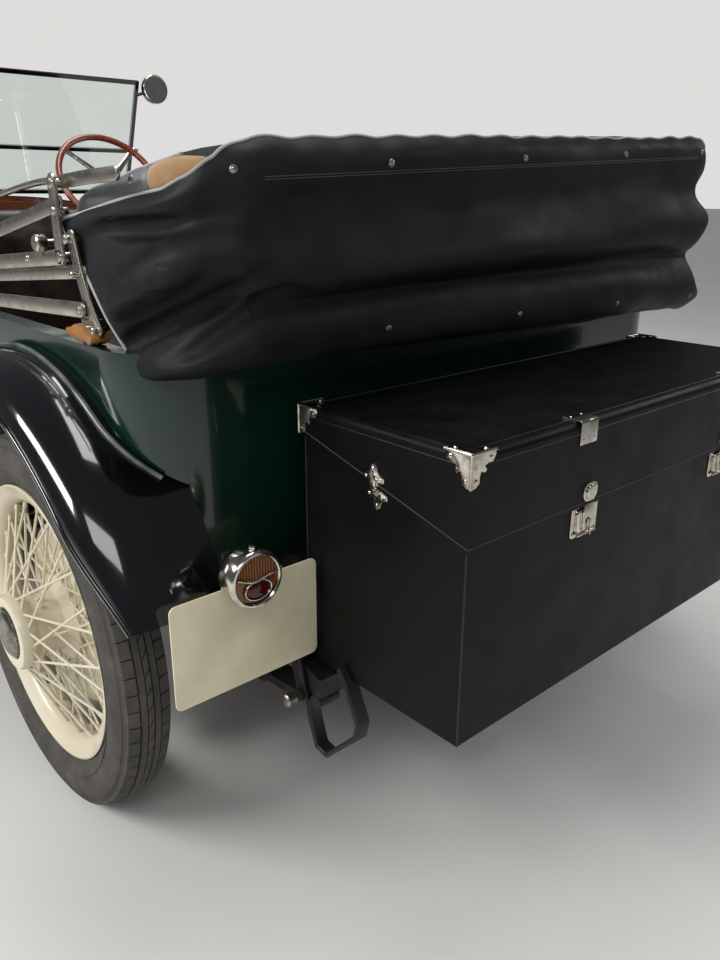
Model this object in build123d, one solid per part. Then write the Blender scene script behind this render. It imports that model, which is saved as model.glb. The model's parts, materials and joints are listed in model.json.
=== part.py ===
from build123d import *
import math
import os

# Open touring car of the 1920s, millimetres. The car faces -Y, +X is its left side, the ground is Z = 0.

# Wheels and axles
WHEELBASE = 3300.0
REAR_AXLE_Y = 1490.0
TRACK = 1456.0
TYRE_RADIUS = 370.0
TYRE_HALF_WIDTH = 50.0
BEAD_SEAT_RADIUS = 254.0
RIM_FLANGE_HEIGHT = 18.0
RIM_HALF_WIDTH = 38.0
RIM_WALL = 4.0
HUB_RADIUS = 72.0
HUB_REACH = 108.0
HUB_CAP = 24.0
HUB_WAIST = 52.0
DRUM_RADIUS = 190.0
DRUM_WIDTH = 56.0
DRUM_WALL = 6.0
DRUM_BACK = -80.0
SPINDLE_RADIUS = 20.0
SPINDLE_LENGTH = 160.0
SPOKE_SIZE = 5.0
KINGPIN_INSET = 125.0
BEARING_CLEARANCE = 0.05
FACE_CLEARANCE = 0.3
RUNNING_GAP = 3.0
FRONT_AXLE_Y = REAR_AXLE_Y - WHEELBASE
WHEEL_X = TRACK / 2
KINGPIN_X = WHEEL_X - KINGPIN_INSET
RIM_FLANGE_RADIUS = BEAD_SEAT_RADIUS + RIM_FLANGE_HEIGHT

# Chassis
RAIL_TOP_Z = 558.0
RAIL_DEPTH = 115.0
RAIL_WIDTH = 50.0
RAIL_WALL = 6.0
FRONT_RAIL_X = 375.0
REAR_RAIL_X = 455.0
FRONT_OVERHANG = 400.0
RAIL_TAIL = 460.0
RAIL_TAPER_AHEAD = 40.0
RAIL_TAPER = 300.0
RAIL_ROOM = 15.0
MEMBER_WIDTH = 50.0
MEMBER_DEPTH = 85.0
HORN_DROP = 40.0
SPRING_WIDTH = 45.0
SPRING_LEAF = 8.0
SPRING_RISE = 20.0
SPRING_EYE_RADIUS = 13.0
FRONT_SPRING_HALF = 465.0
FRONT_LEAVES = 5
REAR_SPRING_X = 482.0
REAR_SPRING_HALF = 520.0
REAR_LEAVES = 6
REAR_AXLE_TUBE = 42.0
AXLE_CASING_RADIUS = 118.0
TORQUE_TUBE_RADIUS = 30.0
TORQUE_TUBE_LENGTH = 1960.0
BEAM_TOP_Z = 343.0
BEAM_DEPTH = 60.0
BEAM_WIDTH = 50.0
KINGPIN_RADIUS = 11.0
KINGPIN_BOSS = 24.0
KINGPIN_BOSS_HALF = 35.0
PERCH_DEPTH = 6.0
FRONT_SPRING_TOP = BEAM_TOP_Z + FACE_CLEARANCE + FRONT_LEAVES * SPRING_LEAF
REAR_SPRING_TOP = TYRE_RADIUS - REAR_AXLE_TUBE - PERCH_DEPTH - FACE_CLEARANCE

# Engine and exhaust
CRANKCASE_HALF = 190.0
CRANKCASE_BOTTOM_Z = 378.0
CRANKCASE_TOP_Z = 718.0
CYLINDERS_TOP_Z = 968.0
ENGINE_FRONT_ROOM = 60.0
ENGINE_REAR_ROOM = 50.0
GEARBOX_HALF = 130.0
GEARBOX_LENGTH = 400.0
GEARBOX_BOTTOM_Z = 388.0
EXHAUST_X = 215.0
EXHAUST_Z = 398.0
EXHAUST_RADIUS = 22.0
MANIFOLD_Z = 658.0
MANIFOLD_RADIUS = 28.0
SILENCER_RADIUS = 60.0
SILENCER_LENGTH = 560.0

# Body
BODY_FLOOR_Z = 560.0
FLOOR_THICKNESS = 15.0
BODY_BOTTOM_Z = 458.0
BODY_BELT_Z = 598.0
BODY_TOP_Z = 933.0
BODY_TUCK = 25.0
BODY_HALF = 715.0
BODY_TAIL = 400.0
BODY_CORNER = 125.0
BODY_WALL = 35.0
SWEEP_START = 1090.0
FIREWALL_AHEAD = 2450.0
FIREWALL_HALF = 465.0
SCUTTLE_LENGTH = 360.0
SCUTTLE_CROWN_Z = 1133.0
SHOULDER_Z = 1048.0
BONNET_CROWN_Z = 1108.0
SHEET = 4.0
BONNET_BOTTOM_Z = 580.0
RADIATOR_HALF = 300.0
RADIATOR_AHEAD = 60.0
RADIATOR_DEPTH = 90.0
RADIATOR_FRAME = 26.0
CORE_BOTTOM_Z = 598.0
BONNET_GAP = 2.5
HINGE_RADIUS = 4.0
LOUVRE_COUNT = 18
LOUVRE_PITCH = 34.0
LOUVRE_FIRST_Y = -1650.0
LOUVRE_WIDTH = 14.0
LOUVRE_HEIGHT = 230.0
LOUVRE_RISE = 6.0
LOUVRE_MIDDLE_Z = 800.0
SCUTTLE_CORNER = 100.0
RADIATOR_CORNER = 90.0
TAIL_Y = REAR_AXLE_Y + BODY_TAIL
FIREWALL_Y = REAR_AXLE_Y - FIREWALL_AHEAD
DASH_Y = FIREWALL_Y + SCUTTLE_LENGTH
SWEEP_Y = REAR_AXLE_Y - SWEEP_START
RADIATOR_FRONT_Y = FRONT_AXLE_Y - RADIATOR_AHEAD
RADIATOR_BACK_Y = RADIATOR_FRONT_Y + RADIATOR_DEPTH
FLOOR_TOP_Z = BODY_FLOOR_Z + FLOOR_THICKNESS
RAIL_FRONT_Y = FRONT_AXLE_Y - FRONT_OVERHANG
RAIL_REAR_Y = REAR_AXLE_Y + RAIL_TAIL

# Fenders and running boards
FENDER_RADIUS = 530.0
FENDER_SHEET = 4.0
REAR_FENDER_SHY = 26.0
REAR_FENDER_TAIL = 68.0
REAR_FENDER_FRONT = 92.0
FENDER_SIDE = 55.0
FENDER_BEND = 85.0
TAIL_CORNER_TURN = 53.0
TAIL_CORNER_END = 60.0
TAIL_CORNER_IN = 30.0
WHEELHOUSE_X = 640.0
FRONT_FENDER_NOSE = 72.0
FENDER_TAIL_TURN = 50.0
FENDER_STAY_DROP = 47.0
FRONT_FENDER_INNER = 600.0
FRONT_FENDER_OUTER = 880.0
BOARD_TOP_Z = 353.0
BOARD_THICKNESS = 22.0
BOARD_INNER = 600.0
BOARD_OUTER = 858.0
BOARD_GAP = 6.0
MAT_MARGIN = 14.0
MAT_THICKNESS = 3.0
BRACKET_DEPTH = 28.0
BRACKETS_BACK = (300.0, 1100.0, 1800.0)
STAY_REACH = 70.0
REAR_FENDER_OUTER = BOARD_OUTER - REAR_FENDER_SHY
FENDER_ROOM = FENDER_RADIUS + FACE_CLEARANCE

# Doors: name, side (1 left, -1 right), front edge ahead of the rear axle, width
DOORS = [
    ("door_front_left", 1, 1840.0, 540.0),
    ("door_rear_left", 1, 1020.0, 470.0),
    ("door_rear_right", -1, 1020.0, 470.0),
]
DOOR_SILL_Z = 598.0
DOOR_GAP = 6.0
DOOR_HINGE_OUT = 8.0
DOOR_HINGE_RADIUS = 5.0
HINGE_KNUCKLE = 18.0
HANDLE_SETBACK = 55.0
HANDLE_DROP = 105.0
HANDLE_REACH = 30.0
HANDLE_LENGTH = 85.0
HINGE_LEVELS = (DOOR_SILL_Z + 60, BODY_TOP_Z - 70)

# Windscreen
SCREEN_RAKE = 22.0
SCREEN_HALF = 600.0
SCREEN_BAR = 15.0
SCREEN_BAR_Z = 1318.0
SCREEN_TOP_Z = 1588.0
SCREEN_BAR_AHEAD = 2110.0
GLASS_THICKNESS = 5.0
MIRROR_Z = 1558.0
MIRROR_RADIUS = 55.0

# Seats
SEAT_TOP_Z = 828.0
CUSHION_DEPTH = 110.0
FRONT_SEAT_Y = -80.0
FRONT_CUSHION_LENGTH = 480.0
FRONT_BACK_TOP_Z = 1148.0
FRONT_SEAT_ROOM = 65.0
REAR_SEAT_Y = 970.0
REAR_CUSHION_LENGTH = 560.0
REAR_SEAT_ROOM = 15.0
REAR_BACK_TOP_Z = 920.0
BACK_THICKNESS = 110.0
FRONT_BACK_LEAN = 45.0
REAR_BACK_LEAN = 60.0
SEAT_BOX_INSET = 20.0
SEAT_BOX_SETBACK = 30.0
CUSHION_EDGE = 30.0
FRONT_SEAT_HALF = BODY_HALF - BODY_WALL - FRONT_SEAT_ROOM
REAR_SEAT_HALF = WHEELHOUSE_X - REAR_SEAT_ROOM

# Steering
GEAR_LEVER_TOP_Z = 858.0
BRAKE_LEVER_TOP_Z = 818.0
LEVER_Y = -520.0
WHEEL_CENTRE = (-270.0, -170.0, 1188.0)
COLUMN_ANGLE = 34.3
COLUMN_RADIUS = 19.0
COLUMN_LENGTH = 1170.0
COLUMN_ROOM = 12.0
STEERING_WHEEL_RADIUS = 205.0
STEERING_HUB_BELOW = 40.0
ARM_LENGTH = 150.0
ARM_Z = 307.0

# Trunk, measured back from the rear axle
TRUNK_HALF = 484.5
TRUNK_FRONT = 482.5
TRUNK_LENGTH = 335.5
TRUNK_BOTTOM_Z = 411.0
TRUNK_TOP_Z = 851.0
SEAM_REAR_Z = 717.5
SEAM_FRONT_Z = 804.0
TRUNK_WALL = 12.0
LID_OVERHANG = 7.0
LID_WALL = 7.0
LID_GAP = 0.5
TRUNK_HINGE_X = 280.0
TRUNK_HINGE_OUT = 5.0
TRUNK_FRONT_Y = REAR_AXLE_Y + TRUNK_FRONT
TRUNK_REAR_Y = TRUNK_FRONT_Y + TRUNK_LENGTH

# Spare wheel, lamps and plate
SPARE_Y = -620.0
SPARE_GAP = 8.0
CARRIER_RADIUS = 30.0
LAMP_X = 650.0
LAMP_Z = 640.0
LAMP_RADIUS = 45.0
LAMP_LENGTH = 55.0
LAMP_BACK = 525.0
PLATE_BACK = 510.0
PLATE_INNER = 492.0
PLATE_OUTER = 757.0
PLATE_THICKNESS = 3.0
PLATE_CORNER = 10.0
PLATE_BOTTOM_Z = 433.0
PLATE_TOP_Z = 605.0
HEADLAMP_X = 400.0
HEADLAMP_Z = 858.0
HEADLAMP_RADIUS = 118.0
HEADLAMP_AHEAD = 40.0
LAMP_Y = REAR_AXLE_Y + LAMP_BACK
PLATE_Y = REAR_AXLE_Y + PLATE_BACK

# Folded soft top
HOOD_HALF = 705.0
IRON_THICKNESS = 7.0
IRON_PIVOT_AHEAD = 500.0


def block(x0, x1, y0, y1, z0, z1):
    """A box between two corners."""
    return Pos((x0 + x1) / 2, (y0 + y1) / 2, (z0 + z1) / 2) * Box(x1 - x0, y1 - y0, z1 - z0)


def rod(start, end, radius):
    """A round bar between two points."""
    path = Vector(*end) - Vector(*start)
    return extrude(Plane(origin=start, z_dir=path) * Circle(radius), path.length)


def side_profile(points, x0, x1):
    """A (Y, Z) outline carried from x0 to x1."""
    plane = Plane(origin=(x0, 0, 0), x_dir=(0, 1, 0), z_dir=(1, 0, 0))
    return extrude(plane * make_face(Polyline(*points, close=True)), x1 - x0)


def front_profile(points, y0, y1):
    """An (X, Z) outline carried from y0 to y1."""
    plane = Plane(origin=(0, y1, 0), x_dir=(1, 0, 0), z_dir=(0, -1, 0))
    return extrude(plane * make_face(Polyline(*points, close=True)), y1 - y0)


def plan_profile(points, z0, z1):
    """An (X, Y) outline carried from z0 to z1."""
    return extrude(Pos(0, 0, z0) * make_face(Polyline(*points, close=True)), z1 - z0)


def both_sides(piece):
    """The piece and its mirror image, as separate solids."""
    return [piece, mirror(piece, Plane.YZ)]


def turned(points, spin=360.0, start=0.0):
    """An (X, radius) outline turned about the X axis, from start degrees forward of the top."""
    face = Plane.XZ * make_face(Polyline(*points, close=True))
    return revolve(Rot(start, 0, 0) * face, Axis.X, spin)


def spun(points, x, y, z):
    """A (radius, along) outline turned about an axis parallel to Y through a point."""
    outline = make_face(Polyline(*points, close=True))
    return Pos(x, y, z) * revolve(outline, Axis.Y)


def arch(half, bottom, shoulder, crown, corner):
    """An arched outline: upright sides, rounded shoulders and a crowned top."""
    edges = [
        Line((half, bottom), (half, shoulder)),
        ThreePointArc((half, shoulder), (0, crown), (-half, shoulder)),
        Line((-half, shoulder), (-half, bottom)),
        Line((-half, bottom), (half, bottom)),
    ]
    face = make_face(edges)
    return fillet(face.vertices().sort_by(Axis.Y)[-2:], corner)


def arch_loft(front, rear):
    """A straight loft between two arches, each given as (y, half, bottom, shoulder, crown, corner)."""
    faces = []
    for y, *sizes in (front, rear):
        plane = Plane(origin=(0, y, 0), x_dir=(1, 0, 0), z_dir=(0, -1, 0))
        faces.append(plane * arch(*sizes))
    return loft(faces, ruled=True)


def thinner(section, wall):
    """The same arch, smaller by a wall all round and open at the bottom."""
    y, half, bottom, shoulder, crown, corner = section
    return (y, half - wall, bottom - 5 * wall, shoulder - wall, crown - wall, corner - wall)


def body_outline(inset):
    """Plan outline of the body: narrow at the firewall, straight past the doors, round at the tail."""
    corner_y = TAIL_Y - BODY_CORNER
    corner_x = BODY_HALF - BODY_CORNER
    right = [
        TangentArc((BODY_HALF, SWEEP_Y), (FIREWALL_HALF, FIREWALL_Y), tangent=(0, -1)),
        Line((BODY_HALF, SWEEP_Y), (BODY_HALF, corner_y)),
        CenterArc((corner_x, corner_y), BODY_CORNER, 0, 90),
    ]
    left = [mirror(edge, Plane.YZ) for edge in right]
    ends = [
        Line((-FIREWALL_HALF, FIREWALL_Y), (FIREWALL_HALF, FIREWALL_Y)),
        Line((-corner_x, TAIL_Y), (corner_x, TAIL_Y)),
    ]
    face = make_face(right + left + ends)
    if inset > 0:
        face = offset(face, -inset, kind=Kind.INTERSECTION)
    return face


def body_half(y):
    """Half width of the body at the belt."""
    if y >= SWEEP_Y:
        return BODY_HALF
    run = SWEEP_Y - FIREWALL_Y
    drop = BODY_HALF - FIREWALL_HALF
    sweep_radius = (run ** 2 + drop ** 2) / (2 * drop)
    return BODY_HALF - sweep_radius + math.sqrt(sweep_radius ** 2 - (SWEEP_Y - y) ** 2)


def scuttle_section(y):
    """The scuttle's arch at one station between the firewall and the dashboard."""
    share = (y - FIREWALL_Y) / SCUTTLE_LENGTH
    half = FIREWALL_HALF + share * (body_half(DASH_Y) - FIREWALL_HALF)
    crown = BONNET_CROWN_Z + share * (SCUTTLE_CROWN_Z - BONNET_CROWN_Z)
    return (y, half, BODY_TOP_Z, SHOULDER_Z, crown, SCUTTLE_CORNER)


def bonnet_section(y):
    """The bonnet's arch at one station between the radiator and the firewall."""
    share = (y - RADIATOR_BACK_Y) / (FIREWALL_Y - RADIATOR_BACK_Y)
    half = RADIATOR_HALF + share * (FIREWALL_HALF - RADIATOR_HALF)
    corner = RADIATOR_CORNER + share * (SCUTTLE_CORNER - RADIATOR_CORNER)
    return (y, half, BONNET_BOTTOM_Z, SHOULDER_Z, BONNET_CROWN_Z, corner)


# Chassis
def make_chassis():
    rail_bottom = RAIL_TOP_Z - RAIL_DEPTH
    taper_y = FIREWALL_Y - RAIL_TAPER_AHEAD
    outer = [
        (FRONT_RAIL_X, RAIL_FRONT_Y),
        (FRONT_RAIL_X, taper_y),
        (REAR_RAIL_X, taper_y + RAIL_TAPER),
        (REAR_RAIL_X, RAIL_REAR_Y),
    ]
    inner = [(x - RAIL_WIDTH, y) for x, y in reversed(outer)]
    pocket_outer = [(x - RAIL_WALL, y) for x, y in outer]
    pocket_inner = [(x - 2 * RAIL_WIDTH, y) for x, y in reversed(outer)]
    rail = plan_profile(outer + inner, rail_bottom, RAIL_TOP_Z)
    rail -= plan_profile(pocket_outer + pocket_inner, rail_bottom + RAIL_WALL, RAIL_TOP_Z - RAIL_WALL)
    eye_top = FRONT_SPRING_TOP + SPRING_RISE + SPRING_EYE_RADIUS + FACE_CLEARANCE
    eye_y = FRONT_AXLE_Y - FRONT_SPRING_HALF
    horn = side_profile([
        (RAIL_FRONT_Y + 10, RAIL_TOP_Z), (eye_y + 25, RAIL_TOP_Z - HORN_DROP),
        (eye_y - 22, rail_bottom + 20), (eye_y - 22, eye_top), (eye_y + 20, eye_top),
        (RAIL_FRONT_Y + 10, rail_bottom),
    ], FRONT_RAIL_X - RAIL_WIDTH, FRONT_RAIL_X)
    eye_y = FRONT_AXLE_Y + FRONT_SPRING_HALF
    hanger = block(FRONT_RAIL_X - RAIL_WIDTH, FRONT_RAIL_X, eye_y - 14, eye_y + 14, eye_top, rail_bottom)
    horn_top = RAIL_TOP_Z - HORN_DROP
    eye_top = REAR_SPRING_TOP + SPRING_RISE + SPRING_EYE_RADIUS + FACE_CLEARANCE
    outer_x = REAR_SPRING_X + SPRING_WIDTH / 2
    eye_y = REAR_AXLE_Y - REAR_SPRING_HALF
    rear_hanger = block(REAR_RAIL_X, outer_x, eye_y - 12, eye_y + 12, eye_top, horn_top)
    eye_y = REAR_AXLE_Y + REAR_SPRING_HALF
    rear_horn = side_profile([
        (RAIL_REAR_Y - 50, horn_top), (RAIL_REAR_Y - 6, horn_top), (RAIL_REAR_Y, rail_bottom - 15),
        (RAIL_REAR_Y + 20, rail_bottom - 40), (eye_y + 16, eye_top + 35), (eye_y + 16, eye_top),
        (eye_y - 20, eye_top), (RAIL_REAR_Y - 50, rail_bottom - 15),
    ], REAR_RAIL_X, outer_x)
    sides = [rail, horn, hanger, rear_hanger, rear_horn]
    # Cross members: outside of the rails there, place
    places = [
        (FRONT_RAIL_X, RAIL_FRONT_Y + 60), (FRONT_RAIL_X, RADIATOR_FRONT_Y + RADIATOR_DEPTH / 2),
        (REAR_RAIL_X, FIREWALL_Y + 420), (REAR_RAIL_X, SWEEP_Y - MEMBER_WIDTH / 2),
        (REAR_RAIL_X, REAR_AXLE_Y - 390), (REAR_RAIL_X, RAIL_REAR_Y - 40),
    ]
    members = []
    for rail_x, y in places:
        reach = rail_x - RAIL_WALL / 2
        half = MEMBER_WIDTH / 2
        members.append(block(-reach, reach, y - half, y + half, RAIL_TOP_Z - MEMBER_DEPTH, RAIL_TOP_Z))
    frame = Part() + sides + [mirror(piece, Plane.YZ) for piece in sides] + members
    return frame


def make_front_axle():
    centre = TYRE_RADIUS
    end = KINGPIN_X - 20
    outline = [
        (0, BEAM_TOP_Z - BEAM_DEPTH), (end - 125, BEAM_TOP_Z - BEAM_DEPTH), (end, centre - 17),
        (end, centre + 33), (end - 35, centre + 28), (end - 145, BEAM_TOP_Z), (0, BEAM_TOP_Z),
    ]
    half = front_profile(outline, -BEAM_WIDTH / 2, BEAM_WIDTH / 2)
    boss = rod((KINGPIN_X, 0, centre - KINGPIN_BOSS_HALF), (KINGPIN_X, 0, centre + KINGPIN_BOSS_HALF),
               KINGPIN_BOSS)
    beam = Part() + [half, mirror(half, Plane.YZ), boss, mirror(boss, Plane.YZ)]
    bore = rod((KINGPIN_X, 0, centre - 60), (KINGPIN_X, 0, centre + 60), KINGPIN_RADIUS + BEARING_CLEARANCE)
    beam = beam - bore - mirror(bore, Plane.YZ)
    return Pos(0, FRONT_AXLE_Y, 0) * beam


def make_rear_axle():
    plate_x = WHEEL_X - 92
    tube = rod((0, 0, 0), (plate_x, 0, 0), REAR_AXLE_TUBE)
    plate = rod((plate_x - 6, 0, 0), (plate_x, 0, 0), DRUM_RADIUS - 4)
    spindle = rod((plate_x - 2, 0, 0), (WHEEL_X - 95 + SPINDLE_LENGTH, 0, 0), SPINDLE_RADIUS)
    perch = block(REAR_SPRING_X - 25, REAR_SPRING_X + 25, -45, 45, -REAR_AXLE_TUBE - PERCH_DEPTH,
                  -REAR_AXLE_TUBE + 22)
    side = [tube, plate, spindle, perch]
    torque_tube = rod((0, -60, 0), (0, -TORQUE_TUBE_LENGTH, 30), TORQUE_TUBE_RADIUS)
    casing = Sphere(AXLE_CASING_RADIUS)
    axle = Part() + side + [mirror(piece, Plane.YZ) for piece in side] + [casing, torque_tube]
    return Pos(0, REAR_AXLE_Y, TYRE_RADIUS) * axle


def leaf_spring(x, y, top_z, half_length, leaves):
    """A pack of curved leaves, the longest on top, with an eye at each end."""
    rise = SPRING_RISE
    bend = (half_length ** 2 + rise ** 2) / (2 * rise)
    centre = Pos(x - SPRING_WIDTH / 2, y, top_z + bend)
    spring = []
    for index in range(leaves):
        inner = bend + index * SPRING_LEAF
        outer = inner + SPRING_LEAF
        reach = half_length * (1 - 0.85 * index / leaves)
        spread = math.degrees(math.asin(reach / outer))
        ring = [
            CenterArc((0, 0), inner, -90 - spread, 2 * spread),
            CenterArc((0, 0), outer, -90 - spread, 2 * spread),
        ]
        ends = [Line(ring[0] @ 0, ring[1] @ 0), Line(ring[0] @ 1, ring[1] @ 1)]
        plane = Plane(origin=(0, 0, 0), x_dir=(0, 1, 0), z_dir=(1, 0, 0))
        spring.append(extrude(plane * make_face(ring + ends), SPRING_WIDTH))
    for side in (-1, 1):
        eye = Rot(0, 90, 0) * Cylinder(SPRING_EYE_RADIUS, SPRING_WIDTH)
        eye = Pos(0, side * half_length, rise - bend) * eye
        spring.append(Pos(SPRING_WIDTH / 2, 0, 0) * eye)
    return centre * (Part() + spring)


def make_springs():
    springs = []
    for x in (FRONT_RAIL_X - RAIL_WIDTH / 2, -FRONT_RAIL_X + RAIL_WIDTH / 2):
        springs.append(leaf_spring(x, FRONT_AXLE_Y, FRONT_SPRING_TOP, FRONT_SPRING_HALF, FRONT_LEAVES))
    for x in (REAR_SPRING_X, -REAR_SPRING_X):
        springs.append(leaf_spring(x, REAR_AXLE_Y, REAR_SPRING_TOP, REAR_SPRING_HALF, REAR_LEAVES))
    return springs


def make_engine():
    front_y = RADIATOR_BACK_Y + ENGINE_FRONT_ROOM
    rear_y = FIREWALL_Y - ENGINE_REAR_ROOM
    gearbox_top = BODY_FLOOR_Z - 10
    crankcase = block(-CRANKCASE_HALF, CRANKCASE_HALF, front_y, rear_y, CRANKCASE_BOTTOM_Z, CRANKCASE_TOP_Z)
    cylinders = block(-CRANKCASE_HALF + 80, CRANKCASE_HALF - 60, front_y + 30, rear_y - 20, CRANKCASE_TOP_Z,
                      CYLINDERS_TOP_Z)
    gearbox = block(-GEARBOX_HALF, GEARBOX_HALF, rear_y, rear_y + GEARBOX_LENGTH, GEARBOX_BOTTOM_Z,
                    gearbox_top)
    x, z = EXHAUST_X, EXHAUST_Z
    down_y = rear_y - 60
    silencer_y = FIREWALL_Y + 1060
    hanger_top = RAIL_TOP_Z - MEMBER_DEPTH - FACE_CLEARANCE
    exhaust = [
        rod((x, front_y + 200, MANIFOLD_Z), (x, rear_y - 40, MANIFOLD_Z), MANIFOLD_RADIUS),
        rod((x, down_y, MANIFOLD_Z + 20), (x, down_y, z), EXHAUST_RADIUS),
        rod((x, down_y, z), (x, SWEEP_Y + 760, z), EXHAUST_RADIUS),
        rod((x, silencer_y, z), (x, silencer_y + SILENCER_LENGTH, z), SILENCER_RADIUS),
        block(x - 30, x + 30, SWEEP_Y - 40, SWEEP_Y - 10, z + 30, hanger_top),
    ]
    manifold = []
    for ahead in (220, 380, 540):
        port_y = front_y + ahead
        manifold.append(block(CRANKCASE_HALF - 70, x, port_y, port_y + 40, MANIFOLD_Z - 20, MANIFOLD_Z + 20))
    return Part() + [crankcase, cylinders, gearbox] + exhaust + manifold


# Body
def body_solid():
    sections = [
        Pos(0, 0, BODY_BOTTOM_Z) * body_outline(BODY_TUCK),
        Pos(0, 0, BODY_BELT_Z) * body_outline(0),
        Pos(0, 0, BODY_TOP_Z) * body_outline(0),
    ]
    return loft(sections, ruled=True)


def body_shell(outer):
    hollow = extrude(Pos(0, 0, BODY_BOTTOM_Z - 10) * body_outline(BODY_WALL), BODY_TOP_Z)
    return outer - hollow


def door_range(door):
    """Front and rear edges of a door's opening."""
    name, side, ahead, width = door
    front = REAR_AXLE_Y - ahead
    return front, front + width


def door_hinge(door):
    """Place of a door's upright hinge axis, outside its front edge."""
    front = door_range(door)[0]
    return door[1] * (body_half(front) + DOOR_HINGE_OUT), front + DOOR_GAP / 2


def hinge_leaf(door, z0, z1, way):
    """A barrel on the door's hinge axis with its leaf, on the body (way -1) or on the door (way 1)."""
    x, y = door_hinge(door)
    side = door[1]
    barrel = rod((x, y, z0), (x, y, z1), DOOR_HINGE_RADIUS)
    near, far = sorted((x - side * 2, x + side * 2))
    low, high = sorted((y, y + way * 24))
    arm = block(near, far, low, high, z0, z1)
    near, far = sorted((x + side * 2, x - side * (DOOR_HINGE_OUT + 5)))
    low, high = sorted((y + way * 14, y + way * 24))
    return Part() + [barrel, arm, block(near, far, low, high, z0, z1)]


def column_point(distance):
    """A point on the steering column, measured from the steering wheel's centre."""
    x, y, z = WHEEL_CENTRE
    angle = math.radians(COLUMN_ANGLE)
    return (x, y - distance * math.cos(angle), z - distance * math.sin(angle))


def wheel_room():
    """The space of both rear wheels' arches."""
    near = (WHEELHOUSE_X - FACE_CLEARANCE, REAR_AXLE_Y, TYRE_RADIUS)
    far = (FRONT_FENDER_OUTER, REAR_AXLE_Y, TYRE_RADIUS)
    return both_sides(rod(near, far, FENDER_ROOM))


def door_room(door, front, rear, sill, top):
    """A block through the body's wall at a door."""
    near, far = sorted((door[1] * (FIREWALL_HALF - BODY_WALL), door[1] * (BODY_HALF + BODY_WALL)))
    return block(near, far, front, rear, sill, top)


def make_tub(body, shell):
    tub = shell
    rail_room = REAR_RAIL_X + RAIL_ROOM
    below = BODY_BOTTOM_Z - 10
    front_room = FRONT_RAIL_X + RAIL_ROOM + 20
    tub -= block(-front_room, front_room, FIREWALL_Y - 10, FIREWALL_Y + 100, below, BODY_FLOOR_Z)
    tub -= block(-rail_room, rail_room, TAIL_Y - 100, TAIL_Y + 10, below, BODY_FLOOR_Z)
    tub -= wheel_room()
    for door in DOORS:
        front, rear = door_range(door)
        tub -= door_room(door, front, rear, DOOR_SILL_Z, BODY_TOP_Z + 10)
    tub -= rod(column_point(700), column_point(1100), COLUMN_RADIUS + COLUMN_ROOM)
    barrels = []
    middle, whole = HINGE_KNUCKLE / 2, HINGE_KNUCKLE * 3 / 2
    for door in DOORS:
        for z in HINGE_LEVELS:
            barrels.append(hinge_leaf(door, z - whole, z - middle - FACE_CLEARANCE, -1))
            barrels.append(hinge_leaf(door, z + middle + FACE_CLEARANCE, z + whole, -1))
    near = (WHEELHOUSE_X - 1, REAR_AXLE_Y, TYRE_RADIUS)
    far = (WHEELHOUSE_X + SHEET, REAR_AXLE_Y, TYRE_RADIUS)
    wall = rod(near, far, FENDER_RADIUS - FENDER_SHEET - FACE_CLEARANCE)
    wall &= block(0, FRONT_FENDER_OUTER, 0, TAIL_Y, FLOOR_TOP_Z + FACE_CLEARANCE, BODY_TOP_Z)
    wall &= body
    return Part() + [tub, wall, mirror(wall, Plane.YZ)] + barrels


def make_door(door, shell):
    front, rear = door_range(door)
    panel = shell & door_room(door, front + DOOR_GAP, rear - DOOR_GAP, DOOR_SILL_Z + DOOR_GAP, BODY_TOP_Z)
    half = HINGE_KNUCKLE / 2
    leaves = [hinge_leaf(door, z - half, z + half, 1) for z in HINGE_LEVELS]
    y = rear - HANDLE_SETBACK
    z = BODY_TOP_Z - HANDLE_DROP
    side = door[1]
    x = side * body_half(y)
    grip_x = x + side * HANDLE_REACH
    stem = rod((x - side * 8, y, z), (grip_x, y, z), 7)
    grip = rod((grip_x, y + 9, z), (grip_x, y - HANDLE_LENGTH, z), 6)
    return panel + leaves + [stem, grip]


def make_scuttle():
    outer = arch_loft(scuttle_section(FIREWALL_Y), scuttle_section(DASH_Y))
    front = thinner(scuttle_section(FIREWALL_Y + SHEET), SHEET)
    rear = thinner(scuttle_section(DASH_Y + 10), SHEET)
    hinge = rod((0, RADIATOR_BACK_Y, BONNET_CROWN_Z), (0, FIREWALL_Y + SHEET / 2, BONNET_CROWN_Z),
                HINGE_RADIUS)
    return outer - arch_loft(front, rear) + hinge


def louvres(side):
    """A row of raised slats along one side of the bonnet, each set upright on the sloping sheet."""
    length = FIREWALL_Y - RADIATOR_BACK_Y
    slant = math.atan2(FIREWALL_HALF - RADIATOR_HALF, length)
    along = (side * math.sin(slant), math.cos(slant), 0)
    outward = (side * math.cos(slant), -math.sin(slant), 0)
    slats = []
    for index in range(LOUVRE_COUNT):
        y = LOUVRE_FIRST_Y + index * LOUVRE_PITCH
        half = bonnet_section(y)[1]
        plane = Plane(origin=(side * half, y, LOUVRE_MIDDLE_Z), x_dir=along, z_dir=outward)
        slats.append(plane * Box(LOUVRE_WIDTH, LOUVRE_HEIGHT, 2 * LOUVRE_RISE))
    return slats


def make_bonnet(side):
    front = bonnet_section(RADIATOR_BACK_Y)
    rear = bonnet_section(FIREWALL_Y)
    inner = arch_loft(thinner(front, SHEET), thinner(rear, SHEET))
    shell = arch_loft(front, rear) - inner
    near, far = sorted((side * (HINGE_RADIUS + FACE_CLEARANCE), side * 600))
    half = shell & block(near, far, RADIATOR_BACK_Y + BONNET_GAP, FIREWALL_Y - BONNET_GAP,
                         BONNET_BOTTOM_Z - 10, BONNET_CROWN_Z + 10)
    return half + [slat - inner for slat in louvres(side)]


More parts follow.
